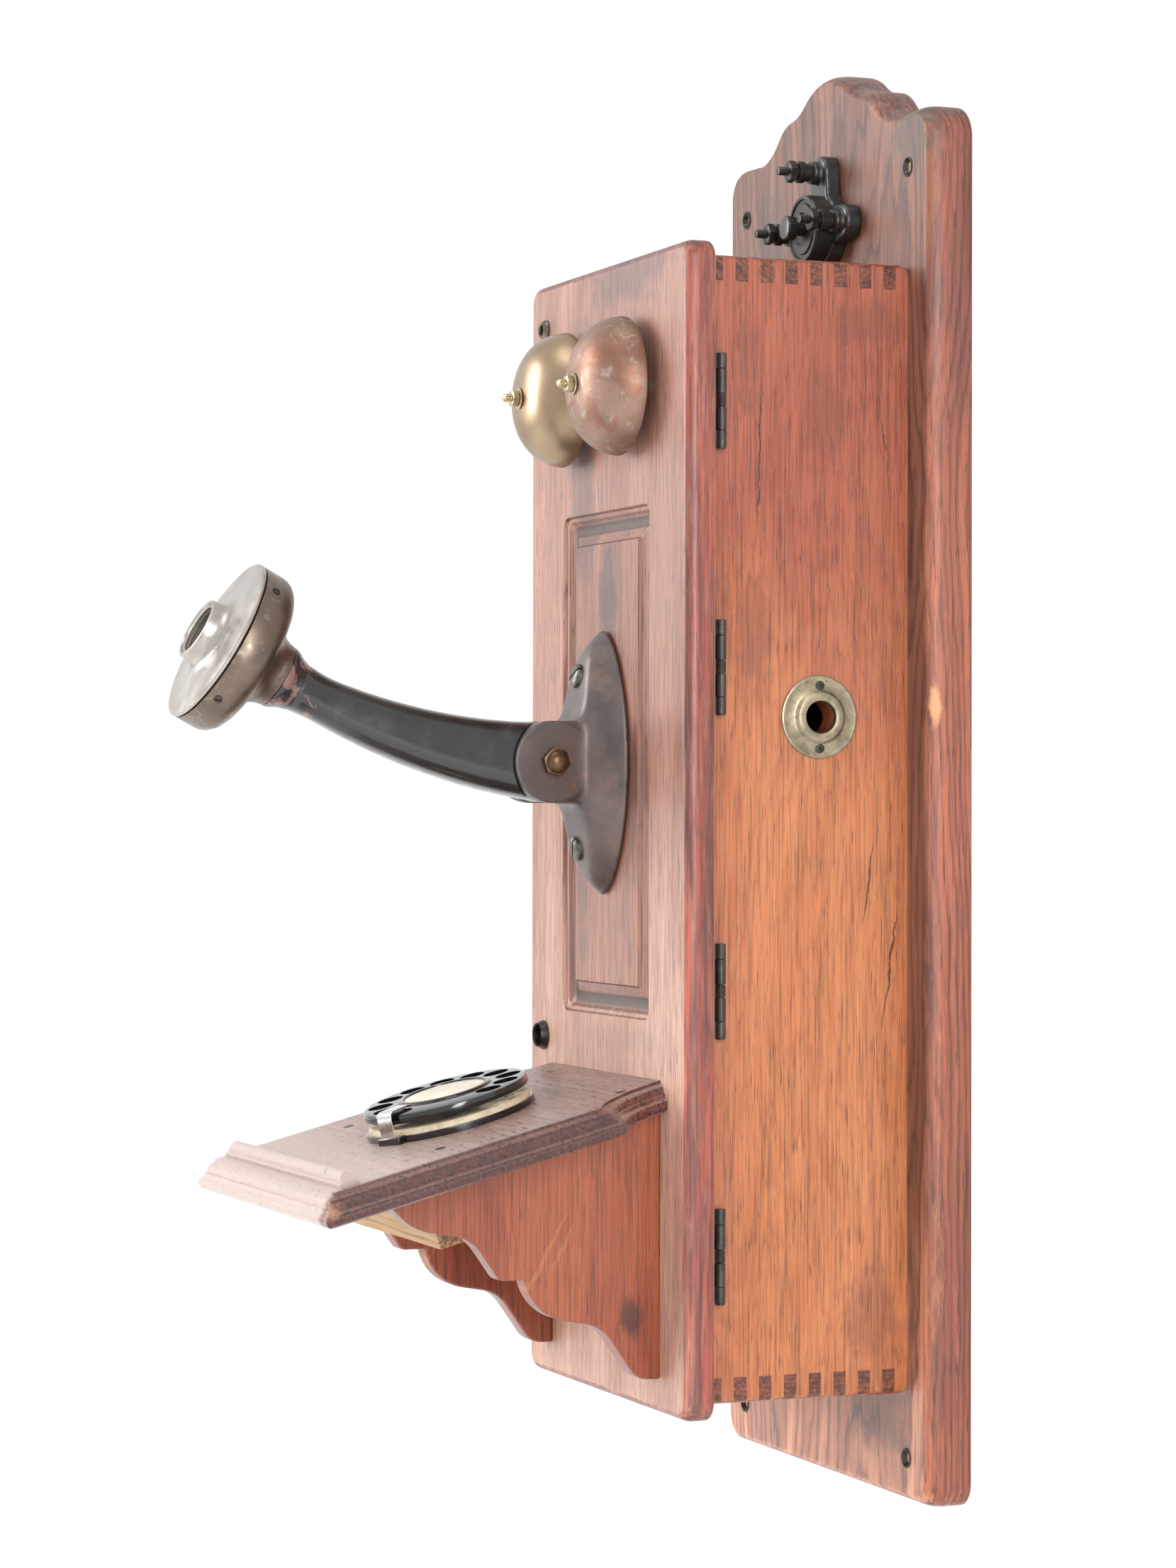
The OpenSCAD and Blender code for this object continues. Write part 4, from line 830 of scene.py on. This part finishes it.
def arm_ring(t, half_w, half_h, power, n=40):
    """A rounded ring across the arm, square to its middle line."""
    y, z, tilt = bent_arm(t)
    a = radians(tilt)
    ring = []
    for i in range(n):
        b = TAU * i / n
        c, s = cos(b), sin(b)
        u = half_w * copysign(abs(c) ** (2 / power), c)
        w = half_h * copysign(abs(s) ** (2 / power), s)
        ring.append(mm(u, y + w * sin(a), z + w * cos(a)))
    return ring


def build_arm():
    rings = []
    for i in range(34):
        t = 0.01 + 0.93 * i / 33
        flare = max(min(t, 0.918) - 0.80, 0) ** 2 * 120
        half_h = 19.0 - 10.8 * t + 0.9 * t * t + flare
        rings.append(arm_ring(t, 17.0 - 7.2 * t + flare, half_h, 3.0 - 0.9 * t))
    parts = [loft(rings), turned([(0, 0), (19.0, 0), (19.0, 17.4), (0, 17.4)], on_x(-8.7), 80)]
    o = cast("arm_casting", parts, "arm", "black_iron", "black_iron", 0.8, 5, ("transmitter_arm",))
    carve(o, [(on_x(0), 0.0202, side * 0.0175 - 0.0087, side * 0.0175 + 0.0087, 96) for side in (-1, 1)])
    finish_mesh(o.data, 40)
    collar = [(0, -0.2), (11.5, -0.2), (11.8, 0.8), (12.2, 2.2), (12.8, 4.0), (13.6, 5.8), (14.5, 7.3),
              (15.1, 8.6), (15.3, 9.6), (15.2, 10.5), (14.7, 10.9), (9, 11), (0, 11)]
    place = MOUTH @ Matrix.Translation((0, 0, -0.0435))
    lathe("collar_turned", collar, place, 64, "arm", "black_iron", "chipped_iron",
          stands_for=("transmitter_collar",))


def on_x(x):
    return Matrix.Translation(mm(x, PIVOT[0], PIVOT[1])) @ turn_by(90, "Y")


def build_transmitter():
    cup = [(0, -32.5), (15.3, -32.5), (15.5, -31.6), (15.9, -29.5), (17.0, -26.8), (19.0, -24.2),
           (22.2, -22.0), (26.0, -20.8), (30.0, -20.1), (33.5, -19.2), (36.6, -17.4), (38.8, -15.0),
           (39.8, -12.4), (40.0, -10.0), (40.0, -1.3), (39.8, -0.95), (39.2, -0.8), (0, -0.8)]
    lathe("cup_spun", cup, MOUTH, 112, "arm", "transmitter_metal", stands_for=("transmitter_cup",))
    face = [(12.7, -0.25), (39.2, -0.25), (39.9, 0.0), (40.1, 0.5), (40.05, 1.1), (39.5, 1.6), (38.0, 1.85),
            (30.0, 2.35), (24.0, 2.9), (20.5, 3.4), (18.0, 4.1), (16.3, 5.4), (15.4, 7.2), (15.0, 9.2),
            (14.8, 11.2), (14.5, 11.9), (13.9, 12.15), (13.2, 12.1), (12.9, 11.8), (12.7, 11.2)]
    # the face takes the lighter copy of the transmitter's metal, a painted reflection
    lathe("face_spun", face, MOUTH, 112, "arm", "transmitter_metal", "face_metal",
          stands_for=("transmitter_face",), closed=True)
    thread = [(12.75, 0.2), (12.75, 11.1), (12.4, 11.3)]
    z = 11.0
    while z > 1.4:
        thread += [(11.4, z), (11.4, z - 0.35), (12.5, z - 0.95), (12.5, z - 1.35)]
        z -= 1.9
    thread += [(11.5, z), (11.5, 0.2)]
    lathe("mouth_thread", thread, MOUTH, 96, "arm", "transmitter_metal", "mouth_metal", closed=True)
    # painted shade: the button deep in the mouth takes dark metal in place of its tin colour
    floor = turned([(0, 0.2), (8.5, 0.2), (10.8, 0.5), (10.8, 0.1)], MOUTH, 48)
    piece("mouth_floor", *floor, "arm", "tin_case", "dark_metal", stands_for=("transmitter_button",),
          merge=True)
    for i in range(4):
        m = MOUTH @ turn_by(45 + 90 * i, "Z") @ Matrix.Translation((0.0401, 0, -0.006)) @ \
            turn_by(90, "Y")
        slotted_head("rim_screw_%d" % i, m, 2.0, 0.6, 0.5, "arm", "steel", "screw_metal",
                     ("rim_screws",) if i == 0 else ())


def slotted_head(name, place, r, rise, slot_w, body, slot, mat, stands_for=(), turn=20):
    """A round screw head with a real slot, its skirt sunk a little."""
    n = 36
    hw = slot_w / 2
    place = place @ turn_by(turn, "Z")
    verts, faces = [], []
    for side in (1, -1):
        a0 = asin(hw / r)
        rim = [(r * cos(a), side * r * sin(a)) for a in
               [a0 + (pi - 2 * a0) * i / (n // 2) for i in range(n // 2 + 1)]]
        levels = [(1.0, -0.6), (1.0, rise * 0.55), (0.86, rise * 0.85), (0.6, rise)]
        rings = []
        for k, h in levels:
            rings.append([local(place, x * k, side * hw + (y - side * hw) * k, h) for x, y in rim])
        v, f = loft(rings)
        faces += [tuple(i + len(verts) for i in q) for q in f]
        verts += v
    base = turned([(0, -0.6), (r * 0.96, -0.6), (r * 0.96, rise * 0.15), (0, rise * 0.15)], place, n)
    piece(name, *joined((verts, faces), base), body, slot, mat, 35, stands_for=stands_for)


# ---------------------------------------------------------------- arm base
# depth in front of the door, and how far out of the neck towards the flange's outline along z and x
BASE_SHAPE = [(0.05, 1, 1), (1.7, 1, 1), (2.3, 0.985, 0.965), (2.7, 0.972, 0.93), (3.6, 0.953, 0.85),
              (4.6, 0.935, 0.76), (6.3, 0.895, 0.62), (8.6, 0.83, 0.45), (10.9, 0.735, 0.31),
              (12.4, 0.64, 0.22), (13.6, 0.54, 0.16), (14.6, 0.42, 0.11), (15.4, 0.30, 0.075),
              (16.3, 0.19, 0.045), (17.2, 0.11, 0.03), (18.5, 0.045, 0.015), (20.0, 0.01, 0.005),
              (21.5, 0, 0), (27.0, 0, 0), (32.5, 0, 0)]


def base_ring(depth, gz, gx, n=36):
    """A ring between the flange's pointed oval and the neck's rounded block."""
    half = []
    for i in range(n + 1):
        a = radians(90 - 180 * i / n)
        c, s = max(cos(a), 0.0), sin(a)
        nx = 17.4 * c ** (0.16 + 0.84 * gx ** 0.5)
        nz = 19.4 * copysign(abs(s) ** (0.3 + 0.7 * gx ** 0.5), s)
        half.append((nx + (30.5 * c ** 1.25 - nx) * gx if 0 < i < n else 0.0, nz + (63.0 * s - nz) * gz))
    return [mm(x, -(DOOR_FRONT + depth), PIVOT[1] + z) for x, z in both_sides(half)]


def build_arm_base():
    parts = [loft([base_ring(*row) for row in BASE_SHAPE])]
    parts.append(turned([(0, 0), (19.4, 0), (19.4, 34.8), (0, 34.8)], on_x(-17.4), 96))
    o = cast("base_casting", parts, "door", "worn_iron", "worn_iron", 0.75, 6, ("arm_base",))
    carve(o, [(on_x(0), 0.0204, -0.0089, 0.0089, 96)])
    finish_mesh(o.data, 40)
    for z, turn in ((41, 35), (-41, 60)):
        lean = turn_by(-13 if z > 0 else 13, "X")
        place = on_front(0, DOOR_FRONT + 14.0, PIVOT[1] + z) @ lean
        slotted_head("base_screw_%s" % ("upper" if z > 0 else "lower"), place, 5.8, 2.6, 1.1,
                     "door", "dark_metal", "base_screw", ("arm_base_screws",) if z > 0 else (), turn)
    nut = joined(hexagon(on_x(17.4), 6.9, 0, 4.6, 0.3),
                 turned([(0, 4.2), (5.5, 4.5), (5.2, 5.6), (4.2, 6.8), (2.6, 7.7), (1.2, 8.0), (0, 8.05)],
                        on_x(17.4), 40))
    piece("pivot_nut_domed", *nut, "door", "worn_iron", "nut_bronze", stands_for=("pivot_nut",), merge=True)
    head = turned([(0, 0.2), (6.9, 0.2), (7.0, 0.6), (7.0, 3.6), (6.2, 4.6), (4.4, 5.0), (0, 5.1)],
                  on_x(-17.4) @ Matrix.Rotation(pi, 4, "X"), 48)
    piece("pivot_head", *head, "door", "worn_iron", "nut_bronze", stands_for=("pivot_bolt",), merge=True)


# ---------------------------------------------------------------- shelf
SLOPE = radians(15)
SHELF_W, SHELF_L, SHELF_Z, SHELF_T = 200, 180, 198, 14
SHELF = Matrix.Translation(mm(0, -DOOR_FRONT, SHELF_Z)) @ Matrix.Rotation(SLOPE, 4, "X")


def shelf_ring(d, h):
    """The shelf's outline with its notched rear corners, moved in by d, at a height on the slope."""
    rx, ry = SHELF_W / 2 - 77.5 + d, 33 + d
    last = degrees(acos(d / rx))
    half = [(SHELF_W / 2 - rx * cos(radians(last * i / 14)), -ry * sin(radians(last * i / 14)))
            for i in range(15)]
    half = [(half[0][0], h * tan(SLOPE) - 0.1)] + half
    side, front = SHELF_W / 2 - d, -SHELF_L + d
    half += [(side, lerp(half[-1][1], front, i / 8)) for i in range(1, 9)]
    half += [(side * (1 - i / 6), front) for i in range(1, 6)]
    out = half + [(0, front)] + [(-x, y) for x, y in reversed(half)]
    return [local(SHELF, x, y, h) for x, y in out]


def build_shelf():
    prof = [(9.2, 0.0), (8.6, -0.05), (8.5, -1.3), (8.2, -1.6), (6.9, -2.0), (5.7, -2.8), (4.9, -4.0),
            (4.5, -5.5), (4.3, -5.8), (3.3, -5.9), (3.0, -6.2), (2.7, -7.0), (1.9, -7.9), (1.0, -8.4),
            (0.35, -9.1), (0.0, -10.1), (0.1, -11.4), (0.6, -12.6), (1.6, -13.5), (3.0, -14.0)]
    rings = [shelf_ring(d, h) for d, h in prof]
    piece("shelf_moulded", *loft(rings), "door", "shelf_wood", stands_for=("writing_shelf",))
    stop = [(-166.4, 0), (-166.4, 1.6), (-165.9, 2.1), (-165.0, 2.3), (-164.8, 3.2), (-164.3, 4.6),
            (-163.2, 5.9), (-161.8, 6.5), (-160.3, 6.2), (-159.3, 5.0), (-158.9, 3.4), (-158.6, 2.4),
            (-157.6, 2.1), (-157.2, 0)]
    rings = []
    for i in range(-6, 7):
        x = 88.8 * i / 6
        mitre = 0.85 if abs(i) == 6 else 0
        rings.append([local(SHELF, x - copysign(mitre * h, x), y, h + 0.02) for y, h in stop])
    piece("pencil_ridge", *loft(rings), "door", "shelf_wood", stands_for=("pencil_stop",))
    for i, (x, y) in enumerate(((67.5, -20), (-67.5, -20), (66, -110), (-66, -110))):
        place = SHELF @ Matrix.Translation((x / 1000, y / 1000, -0.00035))
        lathe("shelf_plug_%d" % i, [(0, 0.36), (1.5, 0.38), (2.1, 0.42), (2.5, 0.5), (2.6, 0.36)], place,
              20, "door", "dark_metal")


# the bracket's lower edge as steps for walk
SCALLOP = [(10, 55), (18, 0), (19, -45), (10.5, 0), (24, 70)]
SCALLOP_END = [(4, 55), (14, 0), (19, -45), (12, 0), (26, 35)]


def build_brackets():
    low, under = 60.7, SHELF_Z - SHELF_T / cos(SLOPE)
    line = [(0, low), (6, low)] + walk((6, low), 0, SCALLOP + [(0, -80), (10, 0)] + SCALLOP_END, 6)
    tx, tz = line[-1]
    run = (under - tan(SLOPE) * tx - tz) / (1 + tan(SLOPE))
    line += [(tx + run, tz + run), (0, under)]
    for side, x in (("left", -79.1), ("right", 56.8)):
        o = piece("scalloped_" + side,
                  *loft([[mm(px, -DOOR_FRONT - u, z) for u, z in line] for px in (x, x + 12.5)]), "door",
                  "bracket_wood", stands_for=("bracket_" + side,))
        add_bevel(o, 0.0009, 3, 35)
        flat_faces(o)


# ---------------------------------------------------------------- dial
DIAL = SHELF @ Matrix.Translation((0, -0.080, 0))
WHEEL_LOW, WHEEL_TOP, HOLE_RADIUS, STOP_ANGLE = 8.6, 13.2, 0.031, 297
HOLE_ANGLES = [radians(22 + 28 * i) for i in range(10)]


def build_dial():
    base = [(0, 0.02), (40.4, 0.02), (40.5, 0.5), (40.4, 2.6), (39.9, 3.0), (38.9, 3.1), (38.9, 2.6),
            (0, 2.6)]
    lathe("dial_base", base, DIAL, 112, "door", "black_enamel", stands_for=("dial_cup",))
    ring = [(0, 5.6), (30, 5.7), (37.0, 5.9), (38.0, 5.7), (38.5, 5.1), (39.0, 3.0), (38.6, 2.7), (0, 2.7)]
    lathe("number_ring", ring, DIAL, 112, "door", "cream_card", "number_ring",
          stands_for=("dial_number_plate",))
    turn = DIAL @ turn_by(STOP_ANGLE, "Z")
    lug = [[local(turn, x, y, h) for x, y in ((37, -7), (43.6, -7), (43.6, 7), (37, 7))]
           for h in (0.02, 3.4)]
    o = piece("stop_lug", *loft(lug), "door", "black_enamel")
    add_bevel(o, 0.0005, 2)
    path = [(42.5, 1.2), (42.5, 5), (42.5, 12.0), (42.35, 13.6), (41.7, 14.5), (40.6, 15.0), (38, 15.05),
            (33, 15.0), (29.5, 14.95), (27.6, 14.7), (26.6, 14.2), (26.0, 13.75)]
    rings = []
    for i, (x, h) in enumerate(path):
        x0, h0 = path[max(i - 1, 0)]
        x1, h1 = path[min(i + 1, len(path) - 1)]
        n = hypot(x1 - x0, h1 - h0)
        nx, nh = -(h1 - h0) / n * 0.42, (x1 - x0) / n * 0.42
        hw = 4.5 if i < 8 else 4.5 - 0.45 * (i - 7)
        rings.append([local(turn, p, y, q) for p, y, q in
                      ((x - nx, -hw, h - nh), (x - nx, hw, h - nh),
                       (x + nx, hw, h + nh), (x + nx, -hw, h + nh))])
    o = piece("stop_strap", *loft(rings), "door", "chrome", angle=50, stands_for=("finger_stop",))
    add_bevel(o, 0.00025, 2, 50)
    wheel()
    card = [(0, 13.75), (18.6, 13.7), (19.4, 13.5), (19.5, 13.1), (0, 13.1)]
    lathe("card_disc", card, DIAL, 80, "dial", "cream_card", stands_for=("dial_card",))
    for i, b in enumerate(HOLE_ANGLES):
        txt = bpy.data.curves.new("digit_%d" % ((i + 1) % 10), "FONT")
        txt.body = str((i + 1) % 10)
        txt.size = 0.0078
        txt.align_x, txt.align_y = "CENTER", "CENTER"
        txt.extrude = 0.00006
        txt.resolution_u = 3
        o = linked(txt.name, txt)
        o.matrix_world = DIAL @ Matrix.Translation((HOLE_RADIUS * cos(b), HOLE_RADIUS * sin(b), 0.00578))
        bpy.context.view_layer.update()
        me = bpy.data.meshes.new_from_object(o.evaluated_get(bpy.context.evaluated_depsgraph_get()))
        me.transform(o.matrix_world)
        bpy.data.objects.remove(o)
        d = linked(txt.name, me)
        me.materials.clear()
        me.materials.append(MATS["black_enamel"])
        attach(d, "door")


def wheel():
    """The finger wheel: a disc with ten rounded finger holes and a raised ring round the card."""
    r, n = 39.5, 120
    prof = [(19.6, 13.0), (19.7, 13.9), (20.2, 14.3), (21.2, 14.35), (22.0, 14.1), (22.5, 13.6),
            (23.0, 13.25), (24.2, 13.2)]
    parts = turned([(3.2, WHEEL_LOW), (r - 1.2, WHEEL_LOW), (r - 0.35, WHEEL_LOW + 0.4), (r, WHEEL_LOW + 1.2),
                    (r, WHEEL_TOP - 1.3), (r - 0.4, WHEEL_TOP - 0.4), (r - 1.3, WHEEL_TOP)] +
                   list(reversed(prof)) + [(3.2, 13.0)], DIAL, n, closed=True)
    o = piece("wheel_disc", *parts, "dial", "black_enamel", stands_for=("finger_wheel",), merge=True)
    carve(o, [(DIAL @ Matrix.Rotation(a, 4, "Z") @ Matrix.Translation((HOLE_RADIUS, 0, 0)),
               0.0061, 0.006, 0.016, 44) for a in HOLE_ANGLES])
    add_bevel(o, 0.0007, 3, 50)


# ---------------------------------------------------------------- line terminals
ARRESTER_X, ARRESTER_Z = 10, 604
POSTS = ((0, 27.5), (24.5, 1), (-25.5, 0.5))


def build_arrester():
    cx, cz = ARRESTER_X, ARRESTER_Z
    base = []
    for px, pz in POSTS:
        rings = []
        for h, k in ((0, 1.0), (7.0, 1.0), (7.9, 0.92)):
            ring = []
            a0 = atan2(pz, px)
            for i in range(20):
                b = a0 - pi / 2 + pi * i / 19
                ring.append((px + 8.4 * k * cos(b), pz + 8.4 * k * sin(b)))
            for i in range(20):
                b = a0 + pi / 2 + pi * i / 19
                ring.append((11 * k * cos(b), 11 * k * sin(b)))
            rings.append([mm(cx + x, -(BOARD_T + h), cz + z) for x, z in ring])
        base.append(loft(rings))
    base.append(turned([(0, 0), (18, 0), (18, 6.4), (17.2, 7.6), (0, 7.6)], on_front(cx, BOARD_T, cz), 64))
    for px, pz in POSTS:
        base.append(turned([(0, 0), (5.6, 0), (5.6, 12), (0, 12)], on_front(cx + px, BOARD_T, cz + pz), 40))
    cast("arrester_casting", base, "cabinet", "black_iron", "arrester_iron", 0.6, 4, ("arrester_base",))
    place = on_front(cx, BOARD_T, cz)
    disc = [(0, 7), (16.5, 7), (16.5, 15.6), (15.9, 16.5), (14.4, 16.6), (14.0, 15.8), (12.6, 15.7),
            (12.2, 16.6), (8.0, 16.8), (7.4, 15.9), (5.6, 15.9), (0, 15.9)]
    lathe("arrester_disc_turned", disc, place, 72, "cabinet", "dark_metal", stands_for=("arrester_disc",))
    knob = [(3.4, 15.5), (3.4, 19.4), (4.6, 20.2), (5.6, 20.8), (5.9, 21.6), (5.9, 25.2), (5.4, 26.0),
            (4.2, 26.3), (0, 26.4)]
    rings = []
    for r, h in knob:
        flutes = [(TAU * i / 60, r * (1 - (0.035 if r > 5 and i % 2 else 0))) for i in range(60)]
        rings.append([local(place, q * cos(a), q * sin(a), h) for a, q in flutes])
    piece("arrester_knob_fluted", *loft(rings, (False, False)), "cabinet", "black_enamel", "arrester_iron",
          25, stands_for=("arrester_knob",), merge=True)
    for i, (px, pz) in enumerate(POSTS):
        at = on_front(cx + px, BOARD_T, cz + pz)
        stem = [(0, 8), (5.2, 11.6), (5.3, 12.6), (4.3, 13.0), (4.3, 15.6), (5.2, 16.0), (5.3, 18.8),
                (4.8, 19.3), (3.4, 19.5), (3.4, 20.6), (0, 20.6)]
        post = turned(stem, at, 40)
        nut = hexagon(at, 5.4, 20.5, 24.4, 0.2 + i)
        tip = [(2.4, 24.3)] + [(2.2 if k % 2 else 1.95, 24.7 + k * 0.35) for k in range(10)]
        stud = turned(tip + [(1.8, 28.4), (2.1, 28.8), (2.1, 29.3), (1.5, 29.5), (0, 29.5)], at, 28)
        piece("line_post_%d" % i, *joined(post, nut, stud), "cabinet", "dark_metal",
              stands_for=("binding_posts", "binding_nuts") if i == 0 else (), merge=True)


def build_small_parts():
    place = on_right(BOX_HALF, -68, 365.5)
    plate = [(0, 0.02), (19.2, 0.02), (19.2, 0.5), (18.9, 0.9), (18.2, 1.1), (17.8, 1.0), (13.6, 1.15),
             (12.6, 1.5), (11.9, 2.2), (11.2, 2.9), (10.2, 3.15), (8.4, 3.1), (7.7, 2.8), (7.5, 2.2),
             (7.5, 0.1)]
    lathe("escutcheon_dished", plate[1:] + [(7.5, 0.02)], place, 96, "cabinet", "aged_brass", angle=25,
          stands_for=("crank_escutcheon",), closed=True)
    for x, turn in ((14.5, 30), (-14.5, 80)):
        slotted_head("plate_screw_%s" % ("low" if x > 0 else "high"),
                     place @ Matrix.Translation((x / 1000, 0, 0.0011)), 2.2, 0.7, 0.5,
                     "cabinet", "steel", "dark_metal", ("escutcheon_screws",) if x > 0 else (), turn)
    for name, (x, z), bore, lip, out, mat in (("cord_grommet", LOWER_HOLE, 5.15, 6.9, 4, "dark_metal"),
                                              ("upper_grommet", UPPER_HOLE, 2.6, 4.8, 3, "ferrule")):
        prof = [(bore + 1, 0), (bore + 1, 14.2), (lip + 0.1, 14.25), (lip + 0.3, 14.9), (lip - 0.1, 15.8),
                (lip - 1.0, 14.2 + out * 0.8), (bore + 0.7, 14.1 + out), (bore + 0.15, 14.2 + out * 0.8),
                (bore, 15), (bore, 0)]
        lathe(name + "_turned", prof, on_front(x, DOOR_BACK, z), 56, "door", "dark_metal", mat,
              closed=True, stands_for=(name,))
    # one brass wood screw is left in the backboard, low in its cup
    slotted_head("wall_screw_brass", on_front(SCREW_X, 20.6, SCREW_Z[1]), 2.9, 0.9, 0.6,
                 "cabinet", "brass_nut", "brass_nut", turn=50)


# ---------------------------------------------------------------- hinges
HINGE_X, HINGE_Y, HINGE_L = 94.6, -118.3, 43
KNUCKLES = [(0.0, 7.5), (7.7, 18.2), (18.6, 24.2), (24.6, 35.8), (36.0, 43.0)]


def slab(x0, x1, y0, y1, z0, z1):
    return loft([[mm(x, y, z) for x, y in ((x0, y0), (x1, y0), (x1, y1), (x0, y1))] for z in (z0, z1)])


def build_hinges():
    box, door = [], []
    for h in (510, 388, 240, 119):
        z = h - HINGE_L / 2
        at = Matrix.Translation(mm(HINGE_X, HINGE_Y, z))
        for i, (a, b) in enumerate(KNUCKLES):
            if i == 2:
                ridges = [(2.2 if k % 2 else 1.95, a + (b - a) * k / 16) for k in range(17)]
                prof = [(1.25, a)] + ridges + [(1.25, b)]
            else:
                prof = [(1.25, a), (2.0, a), (2.2, a + 0.2), (2.2, b - 0.2), (2.0, b), (1.25, b)]
            (door if i % 2 else box).append(turned(prof, at, 28, closed=True))
            if i in (0, 4):
                box.append(slab(92.9, 94.1, -121.2, -119.2, z + a, z + b))
            elif i != 2:
                door.append(slab(91.9, 92.7, -124.3, -117.6, z + a + 0.2, z + b - 0.2))
        box.append(slab(92.9, 94.1, -122.9, -121.1, z, z + HINGE_L))
        box.append(slab(86, 93.0, -122.85, -121.8, z + 0.1, z + HINGE_L - 0.1))
        door.append(slab(82, 92.0, -124.3, -123.35, z + 0.1, z + HINGE_L - 0.1))
    piece("hinges_on_box", *joined(*box), "cabinet", SLOT_OF["hinge_box_leaves"], "hinge_brass",
          stands_for=("hinge_box_leaves",), merge=True)
    piece("hinges_on_door", *joined(*door), "door", SLOT_OF["hinge_door_leaves"], "hinge_brass",
          stands_for=("hinge_door_leaves",), merge=True)


def corner_cut(plane, length, cu, cv, su, sv, r):
    """A cutter that rounds off one long corner; plane maps (u, v, along) to millimetres."""
    ring = [(cu + su * 0.4, cv + sv * 0.4), (cu + su * 0.4, cv - sv * r)]
    for i in range(9):
        a = radians(90 * i / 8)
        ring.append((cu - su * r * (1 - cos(a)), cv - sv * r * (1 - sin(a))))
    ring.append((cu - su * r, cv + sv * 0.4))
    return loft([[mm(*plane(u, v, w)) for u, v in ring] for w in length])


def build_box():
    """The box's boards, with its long edges rounded over as one after gluing."""
    back = [corner_cut(lambda u, v, w: (w, u, v), (-96, 96), -BOARD_T, z, 1, s, r)
            for z, s, r in ((BOX_TOP, 1, 5.5), (BOX_FOOT, -1, 4.0))]
    edges = [corner_cut(lambda u, v, w: (u, w, v), (-126, -20), x, z, sx, sz, 2.8)
             for x, sx in ((-BOX_HALF, -1), (BOX_HALF, 1)) for z, sz in ((BOX_TOP, 1), (BOX_FOOT, -1))]
    for node, mat in (("box_left_side", "box_wood"), ("box_right_side", "box_wood"), ("box_top", "box_end"),
                      ("box_bottom", "box_end")):
        o = refined(node, mat, 0)
        trim(o, *back, *edges)
        flat_faces(o)


# ---------------------------------------------------------------- camera, light and floor
YAW, PITCH, ROLL = 68.22, 0.58, 0.11        # degrees, fitted by least squares to corners seen in the photo
LENS = 91.14            # mm, from the same fit
CAMERA_AT = (1.7555, -0.8478, 0.0018)
FLOOR_DROP = 0.42       # the floor lies this far below the backboard's foot


def build_stage():
    yaw, pitch, roll = radians(YAW), radians(PITCH), radians(ROLL)
    fwd = Vector((-sin(yaw) * cos(pitch), cos(yaw) * cos(pitch), sin(pitch)))
    right = Vector((cos(yaw), sin(yaw), 0))
    up = right.cross(fwd)
    rolled_right = right * cos(roll) + up * sin(roll)
    rolled_up = up * cos(roll) - right * sin(roll)
    rot = Matrix((rolled_right, rolled_up, -fwd)).transposed().to_4x4()
    cam = bpy.data.cameras.new("camera")
    cam.lens = LENS
    cam.sensor_width = 36
    cam.shift_x, cam.shift_y = 0.0004, -0.011
    cam.clip_start, cam.clip_end = 0.05, 60
    co = bpy.data.objects.new("camera", cam)
    co.matrix_world = Matrix.Translation(CAMERA_AT) @ rot
    scene.collection.objects.link(co)
    scene.camera = co

    bm = bmesh.new()
    bmesh.ops.create_circle(bm, cap_ends=True, segments=64, radius=14)
    me = bpy.data.meshes.new("floor")
    bm.to_mesh(me)
    bm.free()
    floor = bpy.data.objects.new("floor", me)
    floor.location.z = -FOOT - FLOOR_DROP
    scene.collection.objects.link(floor)
    g = Graph("floor_paper")
    me.materials.append(g.done(g.ramp(g.noise(2, None, 2), [(0.3, 0.955), (0.7, 0.965)]), 0.95))

    world = bpy.data.worlds.new("studio")
    scene.world = world
    world.use_nodes = True
    world.node_tree.nodes["Background"].inputs[0].default_value = (1, 1, 1, 1)
    world.node_tree.nodes["Background"].inputs[1].default_value = 1.05
    for name, at, size, power, aim in (
            ("key", (-1.5, -2.1, 0.7), (0.8, 1.7), 50, (0, -0.15, 0.0)),
            ("side", (2.4, -0.5, 0.5), (0.6, 1.6), 38, (0, -0.1, 0.0)),
            ("top", (0.3, -0.7, 2.2), (1.0, 1.0), 12, (0, -0.1, 0.1))):
        lamp = bpy.data.lights.new(name, "AREA")
        lamp.shape = "RECTANGLE"
        lamp.size, lamp.size_y = size
        lamp.energy = power
        lo = bpy.data.objects.new(name, lamp)
        lo.location = at
        lo.rotation_euler = (Vector(aim) - Vector(at)).to_track_quat("-Z", "Y").to_euler()
        scene.collection.objects.link(lo)
    scene.view_settings.view_transform = "Standard"
    scene.view_settings.look = "None"


build_stage()
build_backboard()
build_door()
build_bells()
build_arm()
build_transmitter()
build_arm_base()
build_shelf()
build_brackets()
build_dial()
build_arrester()
build_small_parts()
build_hinges()
build_box()

# every other CAD node keeps its shape, with eased edges
EASED = {"dial_well_front": 0.6, "dial_well_floor": 0.6}
STANDING = {o["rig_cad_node"] for o in bpy.data.objects if "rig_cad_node" in o and not o.hide_render}
for node in sorted(STANDING):
    mat = {"hinge_pins": "hinge_brass"}.get(node, SLOT_OF[node])
    refined(node, mat, EASED.get(node, 0.2))
